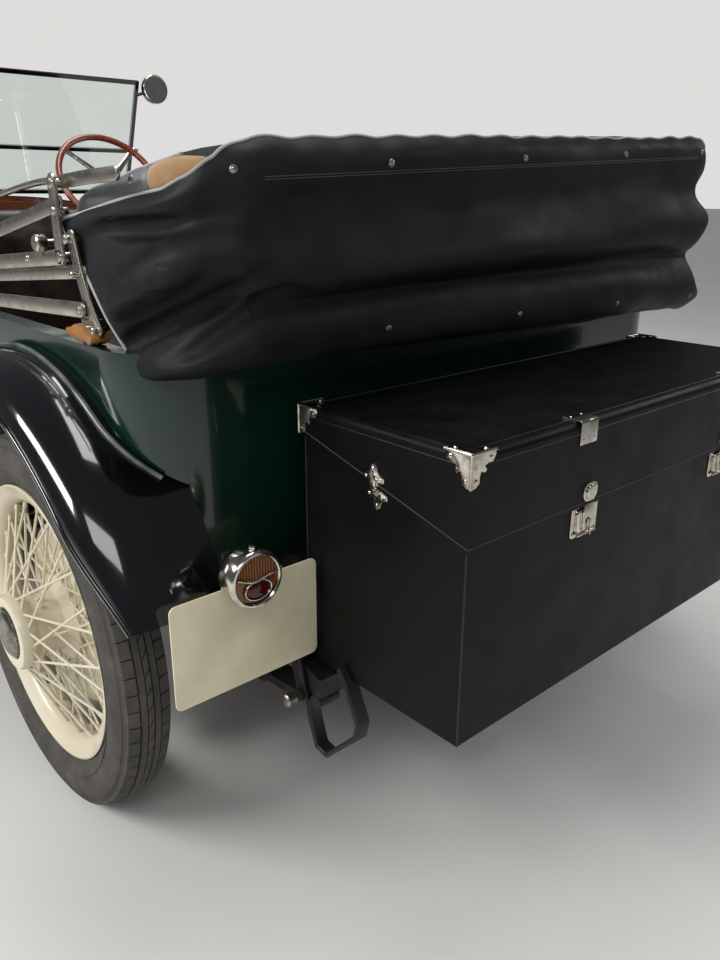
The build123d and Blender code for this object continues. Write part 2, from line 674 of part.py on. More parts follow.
def make_floor():
    outline = body_outline(BODY_WALL + FACE_CLEARANCE)
    boards = extrude(Pos(0, 0, BODY_FLOOR_Z) * outline, FLOOR_THICKNESS)
    boards -= wheel_room()
    box_top = SEAT_TOP_Z - CUSHION_DEPTH - FACE_CLEARANCE
    # Seat boxes: half width, front, rear
    boxes = [
        (FRONT_SEAT_HALF - SEAT_BOX_INSET, FRONT_SEAT_Y + SEAT_BOX_SETBACK,
         FRONT_SEAT_Y + FRONT_CUSHION_LENGTH + BACK_THICKNESS),
        (REAR_SEAT_HALF - SEAT_BOX_INSET, REAR_SEAT_Y + SEAT_BOX_SETBACK,
         REAR_SEAT_Y + REAR_CUSHION_LENGTH + BACK_THICKNESS),
    ]
    pieces = [block(-half, half, front, rear, FLOOR_TOP_Z, box_top) for half, front, rear in boxes]
    return Part() + [boards] + pieces


def make_dashboard():
    y = DASH_Y - 12
    section = thinner(scuttle_section(y), SHEET + FACE_CLEARANCE)
    face = arch(section[1], BODY_TOP_Z + 10, section[3], section[4], section[5])
    plane = Plane(origin=(0, y, 0), x_dir=(1, 0, 0), z_dir=(0, -1, 0))
    return extrude(plane * face, -12)


def make_radiator():
    front = (RADIATOR_FRONT_Y, RADIATOR_HALF, RAIL_TOP_Z + FACE_CLEARANCE, SHOULDER_Z, BONNET_CROWN_Z,
             RADIATOR_CORNER)
    rear = (RADIATOR_BACK_Y,) + front[1:]
    outer = arch_loft(front, rear)
    core_sizes = (RADIATOR_HALF - RADIATOR_FRAME, CORE_BOTTOM_Z, SHOULDER_Z - RADIATOR_FRAME - 40,
                  BONNET_CROWN_Z - RADIATOR_FRAME - 55, RADIATOR_CORNER - RADIATOR_FRAME)
    opening = arch_loft((RADIATOR_FRONT_Y - 1,) + core_sizes, (RADIATOR_BACK_Y + 1,) + core_sizes)
    cap_y = RADIATOR_FRONT_Y + RADIATOR_DEPTH / 2
    cap = [
        rod((0, cap_y, BONNET_CROWN_Z - 20), (0, cap_y, BONNET_CROWN_Z + 16), 24),
        rod((0, cap_y, BONNET_CROWN_Z + 16), (0, cap_y, BONNET_CROWN_Z + 36), 32),
    ]
    shell = Part() + [outer - opening] + cap
    slack = FACE_CLEARANCE
    sizes = (core_sizes[0] - slack, core_sizes[1] + slack, core_sizes[2] - slack, core_sizes[3] - slack,
             core_sizes[4] - slack)
    core = arch_loft((RADIATOR_FRONT_Y + 14,) + sizes, (RADIATOR_BACK_Y - 8,) + sizes)
    return shell, core


# Fenders
def tail_corner():
    """What is cut off the fender's outer corner at its tail, drawn on the plane that touches the crown."""
    radius = FENDER_RADIUS
    edge = REAR_FENDER_OUTER
    first = radius * math.radians(TAIL_CORNER_TURN - TAIL_CORNER_END)
    outline = [
        (edge + 10, first - 20), (edge + 0.5, first), (edge - TAIL_CORNER_IN * 0.55, first * 0.55),
        (edge - TAIL_CORNER_IN, 0), (edge - TAIL_CORNER_IN, radius), (edge + 10, radius),
    ]
    turn = math.radians(TAIL_CORNER_END)
    plane = Plane(origin=(0, radius * math.sin(turn), radius * math.cos(turn)), x_dir=(1, 0, 0),
                  z_dir=(0, math.sin(turn), math.cos(turn)))
    return extrude(plane * make_face(Polyline(*outline, close=True)), radius / 4, both=True)


def make_rear_fenders():
    radius = FENDER_RADIUS
    edge = REAR_FENDER_OUTER
    sheet = FENDER_SHEET
    inner = WHEELHOUSE_X
    side = radius - FENDER_SIDE
    bend = edge - FENDER_BEND
    share = math.sqrt(0.5)
    outer_middle = (bend + FENDER_BEND * share, side + FENDER_SIDE * share)
    inner_middle = (bend + (FENDER_BEND - sheet) * share, side + (FENDER_SIDE - sheet) * share)
    outline = [
        Line((inner, radius), (bend, radius)),
        ThreePointArc((bend, radius), outer_middle, (edge, side)),
        Line((edge, side), (edge - sheet, side)),
        ThreePointArc((edge - sheet, side), inner_middle, (bend, radius - sheet)),
        Line((bend, radius - sheet), (inner, radius - sheet)),
        Line((inner, radius - sheet), (inner, radius)),
    ]
    face = Rot(-REAR_FENDER_TAIL, 0, 0) * Plane.XZ * make_face(outline)
    fender = revolve(face, Axis.X, REAR_FENDER_TAIL + REAR_FENDER_FRONT) - tail_corner()
    return both_sides(Pos(0, REAR_AXLE_Y, TYRE_RADIUS) * fender)


def make_front_fenders():
    radius = FENDER_RADIUS
    near, far = FRONT_FENDER_INNER, FRONT_FENDER_OUTER
    sheet = FENDER_SHEET
    skin = [
        (near, radius - 36), (near + 12, radius - 20), (near + 60, radius - 6), (near + 140, radius),
        (far - 80, radius - 4), (far - 30, radius - 14), (far - 6, radius - 30), (far, radius - 52),
        (far - sheet, radius - 52), (far - 10, radius - 32), (far - 32, radius - 18),
        (far - 80, radius - 8), (near + 140, radius - sheet), (near + 60, radius - 10),
        (near + 14, radius - 24), (near + sheet, radius - 36),
    ]
    tail_turn = -FENDER_TAIL_TURN
    crown = turned(skin, FRONT_FENDER_NOSE - tail_turn, tail_turn)
    end = Rot(tail_turn, 0, 0) * Plane.XZ * make_face(Polyline(*skin, close=True))
    turn = math.radians(-tail_turn)
    flow = extrude(end, 470, dir=(0, math.cos(turn), -math.sin(turn)))
    board_level = BOARD_TOP_Z - BOARD_THICKNESS - TYRE_RADIUS
    flow &= block(0, 1000, 0, 1000, board_level, radius)
    fender = Pos(0, FRONT_AXLE_Y, TYRE_RADIUS) * (crown + flow)
    stay_z = TYRE_RADIUS + radius - FENDER_STAY_DROP
    stay = Part() + [
        block(FRONT_RAIL_X, FRONT_RAIL_X + 10, -45, -15, RAIL_TOP_Z - 100, stay_z),
        block(FRONT_RAIL_X, near + STAY_REACH, -45, -15, stay_z - 10, stay_z),
        block(near + STAY_REACH - 10, near + STAY_REACH, -45, -15, stay_z - 10, TYRE_RADIUS + radius - 11),
    ]
    fender = fender + Pos(0, FRONT_AXLE_Y, 0) * stay
    return both_sides(fender)


def board_front():
    """Where the front fender's flowing tail meets the running board."""
    turn = math.radians(FENDER_TAIL_TURN)
    start_y = FRONT_AXLE_Y + FENDER_RADIUS * math.sin(turn)
    drop = TYRE_RADIUS + FENDER_RADIUS * math.cos(turn) - BOARD_TOP_Z
    return start_y + drop / math.tan(turn)


def board_range():
    return board_front() + BOARD_GAP, REAR_AXLE_Y - FENDER_ROOM


def make_running_boards():
    """Both boards with aprons, brackets and raised mats. The right mat stops behind the spare."""
    front, rear = board_range()
    top, bottom = BOARD_TOP_Z, BOARD_TOP_Z - BOARD_THICKNESS
    board = block(BOARD_INNER, BOARD_OUTER, front, rear, bottom, top)
    apron_x = REAR_RAIL_X + 2
    apron_z = RAIL_TOP_Z - RAIL_DEPTH + 9
    apron = front_profile([
        (apron_x, apron_z), (apron_x, apron_z + 4), (BOARD_INNER + 4, top), (BOARD_INNER + 4, bottom),
        (BOARD_INNER, bottom), (BOARD_INNER, top - 4),
    ], front, rear - 30)
    pieces = [board, apron]
    low = bottom - BRACKET_DEPTH
    for back in BRACKETS_BACK:
        y = FIREWALL_Y + back
        pieces.append(block(REAR_RAIL_X, REAR_RAIL_X + 10, y - 20, y + 20, low, RAIL_TOP_Z - 20))
        pieces.append(block(REAR_RAIL_X, BOARD_OUTER - 80, y - 20, y + 20, low, bottom))
    left, right = both_sides(Part() + pieces)
    near, far = BOARD_INNER + MAT_MARGIN, BOARD_OUTER - MAT_MARGIN
    left += block(near, far, front + MAT_MARGIN, rear - MAT_MARGIN, top - 1, top + MAT_THICKNESS)
    behind_spare = SPARE_Y + TYRE_RADIUS + MAT_MARGIN
    right += block(-far, -near, behind_spare, rear - MAT_MARGIN, top - 1, top + MAT_THICKNESS)
    return [left, right]


# Windscreen
def screen_plane():
    rake = math.radians(SCREEN_RAKE)
    bar_y = REAR_AXLE_Y - SCREEN_BAR_AHEAD
    facing = (0, -math.cos(rake), math.sin(rake))
    return Plane(origin=(0, bar_y, SCREEN_BAR_Z), x_dir=(1, 0, 0), z_dir=facing)


def screen_block(u0, u1, v0, v1, depth):
    return screen_plane() * block(u0, u1, v0, v1, -depth / 2, depth / 2)


def screen_levels():
    """Heights along the raked screen: top edge, lower edge of the lower pane, feet."""
    slope = math.cos(math.radians(SCREEN_RAKE))
    top = (SCREEN_TOP_Z - SCREEN_BAR_Z) / slope
    sill = (SCUTTLE_CROWN_Z + 10 - SCREEN_BAR_Z) / slope
    foot = (BODY_TOP_Z - 70 - SCREEN_BAR_Z) / slope
    return top, sill, foot


def make_windscreen(body):
    top, sill, foot = screen_levels()
    bar = SCREEN_BAR
    inner = SCREEN_HALF - bar
    foot_rise = SCREEN_BAR_Z - BODY_TOP_Z + 40
    foot_y = REAR_AXLE_Y - SCREEN_BAR_AHEAD - foot_rise * math.tan(math.radians(SCREEN_RAKE))
    frame = [
        screen_block(inner, SCREEN_HALF, foot, top, bar),
        screen_block(-SCREEN_HALF, -inner, foot, top, bar),
        screen_block(-inner, inner, top - bar, top, bar),
        screen_block(-inner, inner, -bar / 2, bar / 2, bar),
        screen_block(-inner, inner, sill, sill + bar, bar),
    ]
    for side in (-1, 1):
        near, far = sorted((side * 440, side * (SCREEN_HALF - 1)))
        frame.append(block(near, far, foot_y - 20, foot_y + 25, BODY_TOP_Z - 70, BODY_TOP_Z - 10) - body)
    arm_y = REAR_AXLE_Y - SCREEN_BAR_AHEAD + 90
    mirror_x = -SCREEN_HALF - MIRROR_RADIUS - 5
    frame.append(rod((-SCREEN_HALF + 8, arm_y, MIRROR_Z - 25), (mirror_x, arm_y + 40, MIRROR_Z), 6))
    frame.append(rod((mirror_x, arm_y + 30, MIRROR_Z), (mirror_x, arm_y + 50, MIRROR_Z), MIRROR_RADIUS))
    panes = [
        screen_block(-inner + FACE_CLEARANCE, inner - FACE_CLEARANCE, bar / 2 + FACE_CLEARANCE,
                     top - bar - FACE_CLEARANCE, GLASS_THICKNESS),
        screen_block(-inner + FACE_CLEARANCE, inner - FACE_CLEARANCE, sill + bar + FACE_CLEARANCE,
                     -bar / 2 - FACE_CLEARANCE, GLASS_THICKNESS),
    ]
    return Part() + frame, panes


# Seats
def make_front_seat():
    base = SEAT_TOP_Z - CUSHION_DEPTH
    back_y = FRONT_SEAT_Y + FRONT_CUSHION_LENGTH
    cushion = block(-FRONT_SEAT_HALF, FRONT_SEAT_HALF, FRONT_SEAT_Y, back_y - FACE_CLEARANCE, base,
                    SEAT_TOP_Z)
    cushion = fillet(cushion.edges().filter_by(Axis.X).group_by(Axis.Z)[-1], CUSHION_EDGE)
    near = back_y + FRONT_BACK_LEAN
    far = near + BACK_THICKNESS
    top = FRONT_BACK_TOP_Z
    back = side_profile([
        (back_y, base), (back_y + BACK_THICKNESS, base), (far, top - 40), (far - 20, top), (near + 25, top),
        (near, top - 40),
    ], -FRONT_SEAT_HALF, FRONT_SEAT_HALF)
    return [cushion, back]


def make_rear_seat():
    base = SEAT_TOP_Z - CUSHION_DEPTH
    back_y = REAR_SEAT_Y + REAR_CUSHION_LENGTH
    cushion = block(-REAR_SEAT_HALF, REAR_SEAT_HALF, REAR_SEAT_Y, back_y - FACE_CLEARANCE, base, SEAT_TOP_Z)
    cushion = fillet(cushion.edges().filter_by(Axis.X).group_by(Axis.Z)[-1], CUSHION_EDGE)
    near = back_y + REAR_BACK_LEAN
    back = side_profile([
        (back_y, base), (back_y + BACK_THICKNESS, base), (near + BACK_THICKNESS, REAR_BACK_TOP_Z),
        (near, REAR_BACK_TOP_Z),
    ], -REAR_SEAT_HALF, REAR_SEAT_HALF)
    return [cushion, back]


# Steering
def make_column():
    tube = rod(column_point(STEERING_HUB_BELOW + FACE_CLEARANCE), column_point(COLUMN_LENGTH), COLUMN_RADIUS)
    end = column_point(COLUMN_LENGTH)
    box = block(-FRONT_RAIL_X + RAIL_WIDTH, end[0] + 40, end[1] - 50, end[1] + 60, RAIL_TOP_Z - 90,
                RAIL_TOP_Z - 8)
    strut = rod((end[0], end[1], end[2]), (end[0], end[1], RAIL_TOP_Z - 20), COLUMN_RADIUS)
    column = Part() + [tube, box, strut]
    stay_y, stay_z = column_point(510)[1:]
    clamp_top = BODY_TOP_Z + 10 - FACE_CLEARANCE
    clamp = block(end[0] - 25, end[0] + 25, DASH_Y - 12, DASH_Y, stay_z - 5, clamp_top)
    return column + clamp


def make_steering_wheel():
    upward = Vector(*WHEEL_CENTRE) - Vector(*column_point(100))
    plane = Plane(origin=WHEEL_CENTRE, x_dir=(1, 0, 0), z_dir=upward)
    rim = Torus(STEERING_WHEEL_RADIUS - 12, 12)
    hub = Pos(0, 0, 8 - STEERING_HUB_BELOW / 2) * Cylinder(30, STEERING_HUB_BELOW + 16)
    spokes = []
    for quarter in range(4):
        spokes.append(Rot(0, 0, 45 + 90 * quarter) * block(0, STEERING_WHEEL_RADIUS - 14, -10, 10, -3, 3))
    return plane * (Part() + [rim, hub] + spokes)


def make_knuckle():
    """Left knuckle about its kingpin, the wheel towards +X."""
    web_x = 25.0
    pin_gap = 2.0
    top = KINGPIN_BOSS_HALF + pin_gap
    spindle_end = KINGPIN_INSET - 95 + SPINDLE_LENGTH
    pieces = [
        rod((0, 0, -top - 22), (0, 0, -top), KINGPIN_BOSS),
        rod((0, 0, top), (0, 0, top + 22), KINGPIN_BOSS),
        block(0, web_x + 8, -20, 20, -top - 22, -top),
        block(0, web_x + 8, -20, 20, top, top + 22),
        block(web_x + 1, web_x + 12, -40, 40, -top - 22, top + 22),
        rod((web_x + 2, 0, 0), (KINGPIN_INSET - 84, 0, 0), 40),
        rod((KINGPIN_INSET - 88, 0, 0), (KINGPIN_INSET - 84, 0, 0), DRUM_RADIUS - 4),
        rod((web_x + 4, 0, 0), (spindle_end, 0, 0), SPINDLE_RADIUS),
        rod((0, 0, -top - 10), (0, 0, top + 10), KINGPIN_RADIUS),
        block(-16, 16, 0, ARM_LENGTH, -TYRE_RADIUS + ARM_Z, -top),
        rod((0, ARM_LENGTH, -TYRE_RADIUS + ARM_Z), (0, ARM_LENGTH, -top), 18),
    ]
    return Part() + pieces - rod((0, ARM_LENGTH, -200), (0, ARM_LENGTH, 0), 8)


def make_tie_rod():
    y = FRONT_AXLE_Y + ARM_LENGTH
    z = ARM_Z - RUNNING_GAP - 14
    bar = rod((-KINGPIN_X, y, z), (KINGPIN_X, y, z), 11)
    pieces = [bar]
    for x in (-KINGPIN_X, KINGPIN_X):
        pieces.append(rod((x, y, z - 14), (x, y, z + 14), 17))
        pieces.append(rod((x, y, z), (x, y, TYRE_RADIUS - 40), 8 - BEARING_CLEARANCE))
    return Part() + pieces


# Wheels
def make_tyre():
    """A tyre about the origin, its axle along X."""
    seat = BEAD_SEAT_RADIUS + FACE_CLEARANCE
    bead = RIM_HALF_WIDTH - RIM_WALL - FACE_CLEARANCE
    bulge = TYRE_HALF_WIDTH
    outer = TYRE_RADIUS
    half = [
        (bead, seat), (bead, RIM_FLANGE_RADIUS + 2), (bulge - 8, RIM_FLANGE_RADIUS + 16),
        (bulge, outer - 62), (bulge - 2, outer - 36), (bulge - 9, outer - 14), (bulge - 22, outer - 3),
        (0, outer),
    ]
    mirrored = [(-x, r) for x, r in reversed(half[:-1])]
    return turned(half + mirrored)


def make_wheel():
    """A wire wheel, the outer side towards +X."""
    seat = BEAD_SEAT_RADIUS
    edge = RIM_HALF_WIDTH
    wall = RIM_WALL
    flange = RIM_FLANGE_RADIUS
    rim = turned([
        (-edge, seat - 8), (-edge, flange), (-edge + wall, flange), (-edge + wall, seat), (-26, seat),
        (-18, seat - 8), (18, seat - 8), (26, seat), (edge - wall, seat), (edge - wall, flange),
        (edge, flange), (edge, seat - 8), (26, seat - 10), (18, seat - 18), (-18, seat - 18),
        (-26, seat - 10),
    ])
    bore = SPINDLE_RADIUS + BEARING_CLEARANCE
    web = DRUM_BACK + DRUM_WIDTH
    nave = HUB_REACH - HUB_WAIST
    cap = HUB_REACH - HUB_CAP
    hub = turned([
        (DRUM_BACK + 6, bore), (DRUM_BACK + 6, 46), (web - DRUM_WALL, 46), (web, HUB_RADIUS + 10),
        (web + 4, HUB_RADIUS + 10), (web + 26, HUB_RADIUS), (web + 50, 58), (nave, 54),
        (nave + 12, HUB_RADIUS),
        (HUB_REACH - 6, HUB_RADIUS), (HUB_REACH, HUB_RADIUS - 8), (HUB_REACH, 0), (cap, 0), (cap, bore),
    ])
    # Spoke rows: hub x, hub radius, rim x, lacing angle, count, first angle
    rows = [
        (nave + 18, HUB_RADIUS - 4, 10.0, 34.0, 10, 0.0),
        (nave + 18, HUB_RADIUS - 4, 10.0, -34.0, 10, 18.0),
        (web + 16, HUB_RADIUS - 2, -6.0, 40.0, 10, 9.0),
        (web + 16, HUB_RADIUS - 2, -6.0, -40.0, 10, 27.0),
    ]
    spokes = []
    for hub_x, hub_r, rim_x, lace, count, first in rows:
        for index in range(count):
            angle = math.radians(first + 360 * index / count)
            lean = angle + math.radians(lace)
            start = Vector(hub_x, hub_r * math.sin(lean), hub_r * math.cos(lean))
            rim_r = seat - 12
            end = Vector(rim_x, rim_r * math.sin(angle), rim_r * math.cos(angle))
            plane = Plane(origin=start, x_dir=(0, math.cos(angle), -math.sin(angle)), z_dir=end - start)
            spokes.append(extrude(plane * Rectangle(SPOKE_SIZE, SPOKE_SIZE), (end - start).length))
    return Part() + [rim, hub] + spokes


def make_drum():
    """The brake drum that a road wheel carries on its inner side."""
    web = DRUM_BACK + DRUM_WIDTH
    return turned([
        (web - DRUM_WALL, 40), (web - DRUM_WALL, DRUM_RADIUS - DRUM_WALL),
        (DRUM_BACK, DRUM_RADIUS - DRUM_WALL),
        (DRUM_BACK, DRUM_RADIUS), (web, DRUM_RADIUS), (web + 4, DRUM_RADIUS - 30), (web + 4, 40),
    ])


def place_wheel(piece, side, y, z, x=WHEEL_X):
    """The piece at a wheel's place, turned round on the right side."""
    turn = 0 if side > 0 else 180
    return Pos(side * x, y, z) * Rot(0, 0, turn) * piece


# Trunk
def make_trunk():
    front, rear = TRUNK_FRONT_Y, TRUNK_REAR_Y
    half, wall = TRUNK_HALF, TRUNK_WALL
    slope = (SEAM_FRONT_Z - SEAM_REAR_Z) / TRUNK_LENGTH
    base = side_profile([(front, TRUNK_BOTTOM_Z), (rear, TRUNK_BOTTOM_Z), (rear, SEAM_REAR_Z),
                         (front, SEAM_FRONT_Z)], -half, half)
    base -= block(-half + wall, half - wall, front + wall, rear - wall, TRUNK_BOTTOM_Z + wall, TRUNK_TOP_Z)
    for x in (-TRUNK_HINGE_X, TRUNK_HINGE_X):
        hinge_y = front - LID_OVERHANG - TRUNK_HINGE_OUT
        base += rod((x - 35, hinge_y, SEAM_FRONT_Z), (x + 35, hinge_y, SEAM_FRONT_Z), TRUNK_HINGE_OUT - 1)
        base += block(x - 35, x + 35, hinge_y - TRUNK_HINGE_OUT + 1, front, SEAM_FRONT_Z - 22,
                      SEAM_FRONT_Z - 2)
    lid_front, lid_rear = front - LID_OVERHANG, rear + LID_OVERHANG
    lid_half = half + LID_OVERHANG
    rear_z = SEAM_REAR_Z - slope * LID_OVERHANG + LID_GAP
    front_z = SEAM_FRONT_Z + slope * LID_OVERHANG + LID_GAP
    lid = side_profile([(lid_front, front_z), (lid_rear, rear_z), (lid_rear, TRUNK_TOP_Z),
                        (lid_front, TRUNK_TOP_Z)], -lid_half, lid_half)
    lid = fillet(lid.edges().group_by(Axis.Z)[-1], 12)
    lid -= block(-lid_half + LID_WALL + 8, lid_half - LID_WALL - 8, lid_front + LID_WALL + 8,
                 lid_rear - LID_WALL - 8, SEAM_REAR_Z - 20, TRUNK_TOP_Z - LID_WALL)
    return base, lid


def make_rack():
    pieces = []
    arm_y = RAIL_REAR_Y
    for side in (-1, 1):
        near, far = sorted((side * (REAR_RAIL_X - RAIL_WIDTH), side * REAR_RAIL_X))
        pieces.append(block(near, far, arm_y, arm_y + 8, TRUNK_BOTTOM_Z - 16, RAIL_TOP_Z - 20))
        pieces.append(block(near, far, arm_y, TRUNK_REAR_Y - 20, TRUNK_BOTTOM_Z - 16, TRUNK_BOTTOM_Z))
    for y in (TRUNK_FRONT_Y + 20, TRUNK_FRONT_Y + 150, TRUNK_REAR_Y - 50):
        pieces.append(block(-REAR_RAIL_X, REAR_RAIL_X, y, y + 25, TRUNK_BOTTOM_Z - 16, TRUNK_BOTTOM_Z))
    return Part() + pieces


# Lamps, plate, soft top and small fittings
def make_rear_lamp():
    radius, length = LAMP_RADIUS, LAMP_LENGTH
    lamp = spun([
        (0, -12), (22, -12), (radius - 8, -2), (radius - 3, 10), (radius - 3, length - 14),
        (radius, length - 14), (radius, length - 4), (radius - 6, length), (0, length),
    ], LAMP_X, LAMP_Y, LAMP_Z)
    arm_top = RAIL_TOP_Z - HORN_DROP - 1
    arm_bottom = arm_top - 24
    plate_back = PLATE_Y - 0.5
    arm_y = RAIL_REAR_Y - 20
    bracket = [
        block(REAR_SPRING_X + SPRING_WIDTH / 2, LAMP_X + 12, arm_y, arm_y + 8, arm_bottom, arm_top),
        block(LAMP_X - 12, LAMP_X + 12, arm_y, plate_back, arm_bottom, arm_top),
        block(LAMP_X - 12, LAMP_X + 12, PLATE_Y - 6, plate_back, arm_bottom, LAMP_Z + 20),
        rod((LAMP_X, PLATE_Y - 4, LAMP_Z), (LAMP_X, LAMP_Y - 10, LAMP_Z), 14),
    ]
    return Part() + [lamp] + bracket


def make_plate():
    plate = block(PLATE_INNER, PLATE_OUTER, PLATE_Y, PLATE_Y + PLATE_THICKNESS, PLATE_BOTTOM_Z, PLATE_TOP_Z)
    return fillet(plate.edges().filter_by(Axis.Y), PLATE_CORNER)


def make_hood():
    y = TAIL_Y
    seat_z = BODY_TOP_Z + FACE_CLEARANCE
    z = BODY_TOP_Z
    outline = [
        (y + FACE_CLEARANCE, z - 27), (y + 45, z - 27), (y + 95, z + 105), (y + 108, z + 215),
        (y + 95, z + 295),
        (y + 30, z + 328), (y - 190, z + 325), (y - 270, z + 275), (y - 282, z + 205), (y - 250, z + 125),
        (y - 170, z + 25), (y - 120, seat_z), (y + FACE_CLEARANCE, seat_z),
    ]
    return side_profile(outline, -HOOD_HALF, HOOD_HALF)


def flat_bar(y0, z0, y1, z1, width, x0, x1):
    """A flat bar on edge between two points at the car's side, its ends square."""
    length = math.hypot(y1 - y0, z1 - z0)
    across = (-(z1 - z0) / length * width / 2, (y1 - y0) / length * width / 2)
    ends = [(y0, z0), (y1, z1)]
    upper = [(y + across[0], z + across[1]) for y, z in ends]
    lower = [(y - across[0], z - across[1]) for y, z in reversed(ends)]
    return side_profile(upper + lower, x0, x1)


def make_irons():
    x0, x1 = HOOD_HALF + FACE_CLEARANCE, HOOD_HALF + IRON_THICKNESS
    pivot = REAR_AXLE_Y - IRON_PIVOT_AHEAD
    z = BODY_TOP_Z
    # Bars: start behind the pivot, its height above the body, end behind the pivot, its height, width
    bars = [
        (-20, 84, 656, 207, 20), (-20, 68, 664, 126, 20), (-20, 46, 716, 109, 22), (-20, 14, 748, 54, 22),
        (658, 238, 664, 118, 22), (700, 154, 716, 106, 20), (716, 110, 746, 60, 20), (744, 66, 762, 14, 20),
    ]
    pieces = [block(x0 - 10, x1, pivot - 32, pivot + 25, z, z + 100)]
    for start, low, end, high, width in bars:
        pieces.append(flat_bar(pivot + start, z + low, pivot + end, z + high, width, x0, x1))
    middle = (x0 + x1) / 2
    catch = IRON_THICKNESS / 2 - 0.5
    pieces.append(rod((middle, pivot + 656, z + 232), (middle, pivot + 840, z + 240), catch))
    return both_sides(Part() + pieces)


def make_headlamps():
    y = RADIATOR_FRONT_Y - HEADLAMP_AHEAD
    x, z = HEADLAMP_X, HEADLAMP_Z
    radius = HEADLAMP_RADIUS
    foot_z = z - 200
    lamp = Part() + [
        spun([
            (0, -90), (radius - 8, -90), (radius, -84), (radius, -66), (radius - 10, -62),
            (radius - 16, -30), (radius - 38, 6), (radius - 74, 30), (0, 40),
        ], x, y, z),
        rod((x, y - 10, foot_z), (x, y - 10, z - radius + 30), 14),
        block(FRONT_RAIL_X, FRONT_RAIL_X + 10, y - 25, y + 5, RAIL_TOP_Z - 100, foot_z + 10),
        block(FRONT_RAIL_X, x + 15, y - 25, y + 5, foot_z, foot_z + 12),
    ]
    return both_sides(lamp)


def make_levers():
    floor = FLOOR_TOP_Z
    gear = Part() + [
        rod((20, LEVER_Y, floor + 12), (0, LEVER_Y + 120, GEAR_LEVER_TOP_Z), 8),
        Pos(0, LEVER_Y + 120, GEAR_LEVER_TOP_Z + 5) * Sphere(19),
        rod((20, LEVER_Y, floor), (20, LEVER_Y, floor + 30), 30),
    ]
    brake = Part() + [
        rod((90, LEVER_Y, floor + 12), (90, LEVER_Y + 170, BRAKE_LEVER_TOP_Z), 9),
        rod((90, LEVER_Y, floor), (90, LEVER_Y, floor + 20), 24),
    ]
    return [gear, brake]


def save(name, shape):
    """Write one node, of one solid or of several that don't touch."""
    if isinstance(shape, list):
        solids = []
        for piece in shape:
            solids.extend(piece.solids())
        shape = Compound(children=solids)
    shape.label = name
    export_step(shape, f"parts/{name}.step")


os.makedirs("parts", exist_ok=True)
body = body_solid()
shell = body_shell(body)
radiator_shell, radiator_core = make_radiator()
windscreen_frame, windscreen_glass = make_windscreen(body)
trunk_base, trunk_lid = make_trunk()
wheel = make_wheel()
drum = make_drum()
tyre = make_tyre()
knuckle = Pos(KINGPIN_X, FRONT_AXLE_Y, TYRE_RADIUS) * make_knuckle()
spare_x = body_half(SPARE_Y + TYRE_RADIUS) + SPARE_GAP + TYRE_HALF_WIDTH
spare_z = BOARD_TOP_Z + TYRE_RADIUS + FACE_CLEARANCE
spare = place_wheel(wheel, -1, SPARE_Y, spare_z, spare_x)
carrier = rod((-FIREWALL_HALF, SPARE_Y, spare_z), (-spare_x + 40, SPARE_Y, spare_z), CARRIER_RADIUS) - body

nodes = {
    "chassis_frame": make_chassis(),
    "front_axle": make_front_axle(),
    "rear_axle": make_rear_axle(),
    "springs": make_springs(),
    "engine": make_engine(),
    "body_tub": make_tub(body, shell),
    "scuttle": make_scuttle(),
    "floor": make_floor(),
    "dashboard": make_dashboard(),
    "radiator_shell": radiator_shell,
    "radiator_core": radiator_core,
    "rear_fenders": make_rear_fenders(),
    "front_fenders": make_front_fenders(),
    "running_boards": make_running_boards(),
    "windscreen_frame": windscreen_frame,
    "windscreen_glass": windscreen_glass,
    "front_seat": make_front_seat(),
    "rear_seat": make_rear_seat(),
    "steering_column": make_column(),
    "steering_wheel": make_steering_wheel(),
    "levers": make_levers(),
    "headlamps": make_headlamps(),
    "rear_lamp": make_rear_lamp(),
    "number_plate": make_plate(),
    "trunk_base": trunk_base,
    "trunk_lid": trunk_lid,
    "trunk_rack": make_rack(),
    "folded_hood": make_hood(),
    "hood_irons": make_irons(),
    "bonnet_left": make_bonnet(1),
    "bonnet_right": make_bonnet(-1),
    "knuckle_left": knuckle,
    "knuckle_right": mirror(knuckle, Plane.YZ),
    "tie_rod": make_tie_rod(),
    "spare_tyre": place_wheel(tyre, -1, SPARE_Y, spare_z, spare_x),
    "spare_wheel": spare + carrier,
}
for door in DOORS:
    nodes[door[0]] = make_door(door, shell)
for place, side, y in (
    ("front_left", 1, FRONT_AXLE_Y), ("front_right", -1, FRONT_AXLE_Y),
    ("rear_left", 1, REAR_AXLE_Y), ("rear_right", -1, REAR_AXLE_Y),
):
    nodes[f"wheel_{place}"] = place_wheel(wheel + drum, side, y, TYRE_RADIUS)
    nodes[f"tyre_{place}"] = place_wheel(tyre, side, y, TYRE_RADIUS)
for name, shape in nodes.items():
    save(name, shape)
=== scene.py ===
import bpy
import json
import math
from mathutils import Matrix, Vector, noise as noise_field


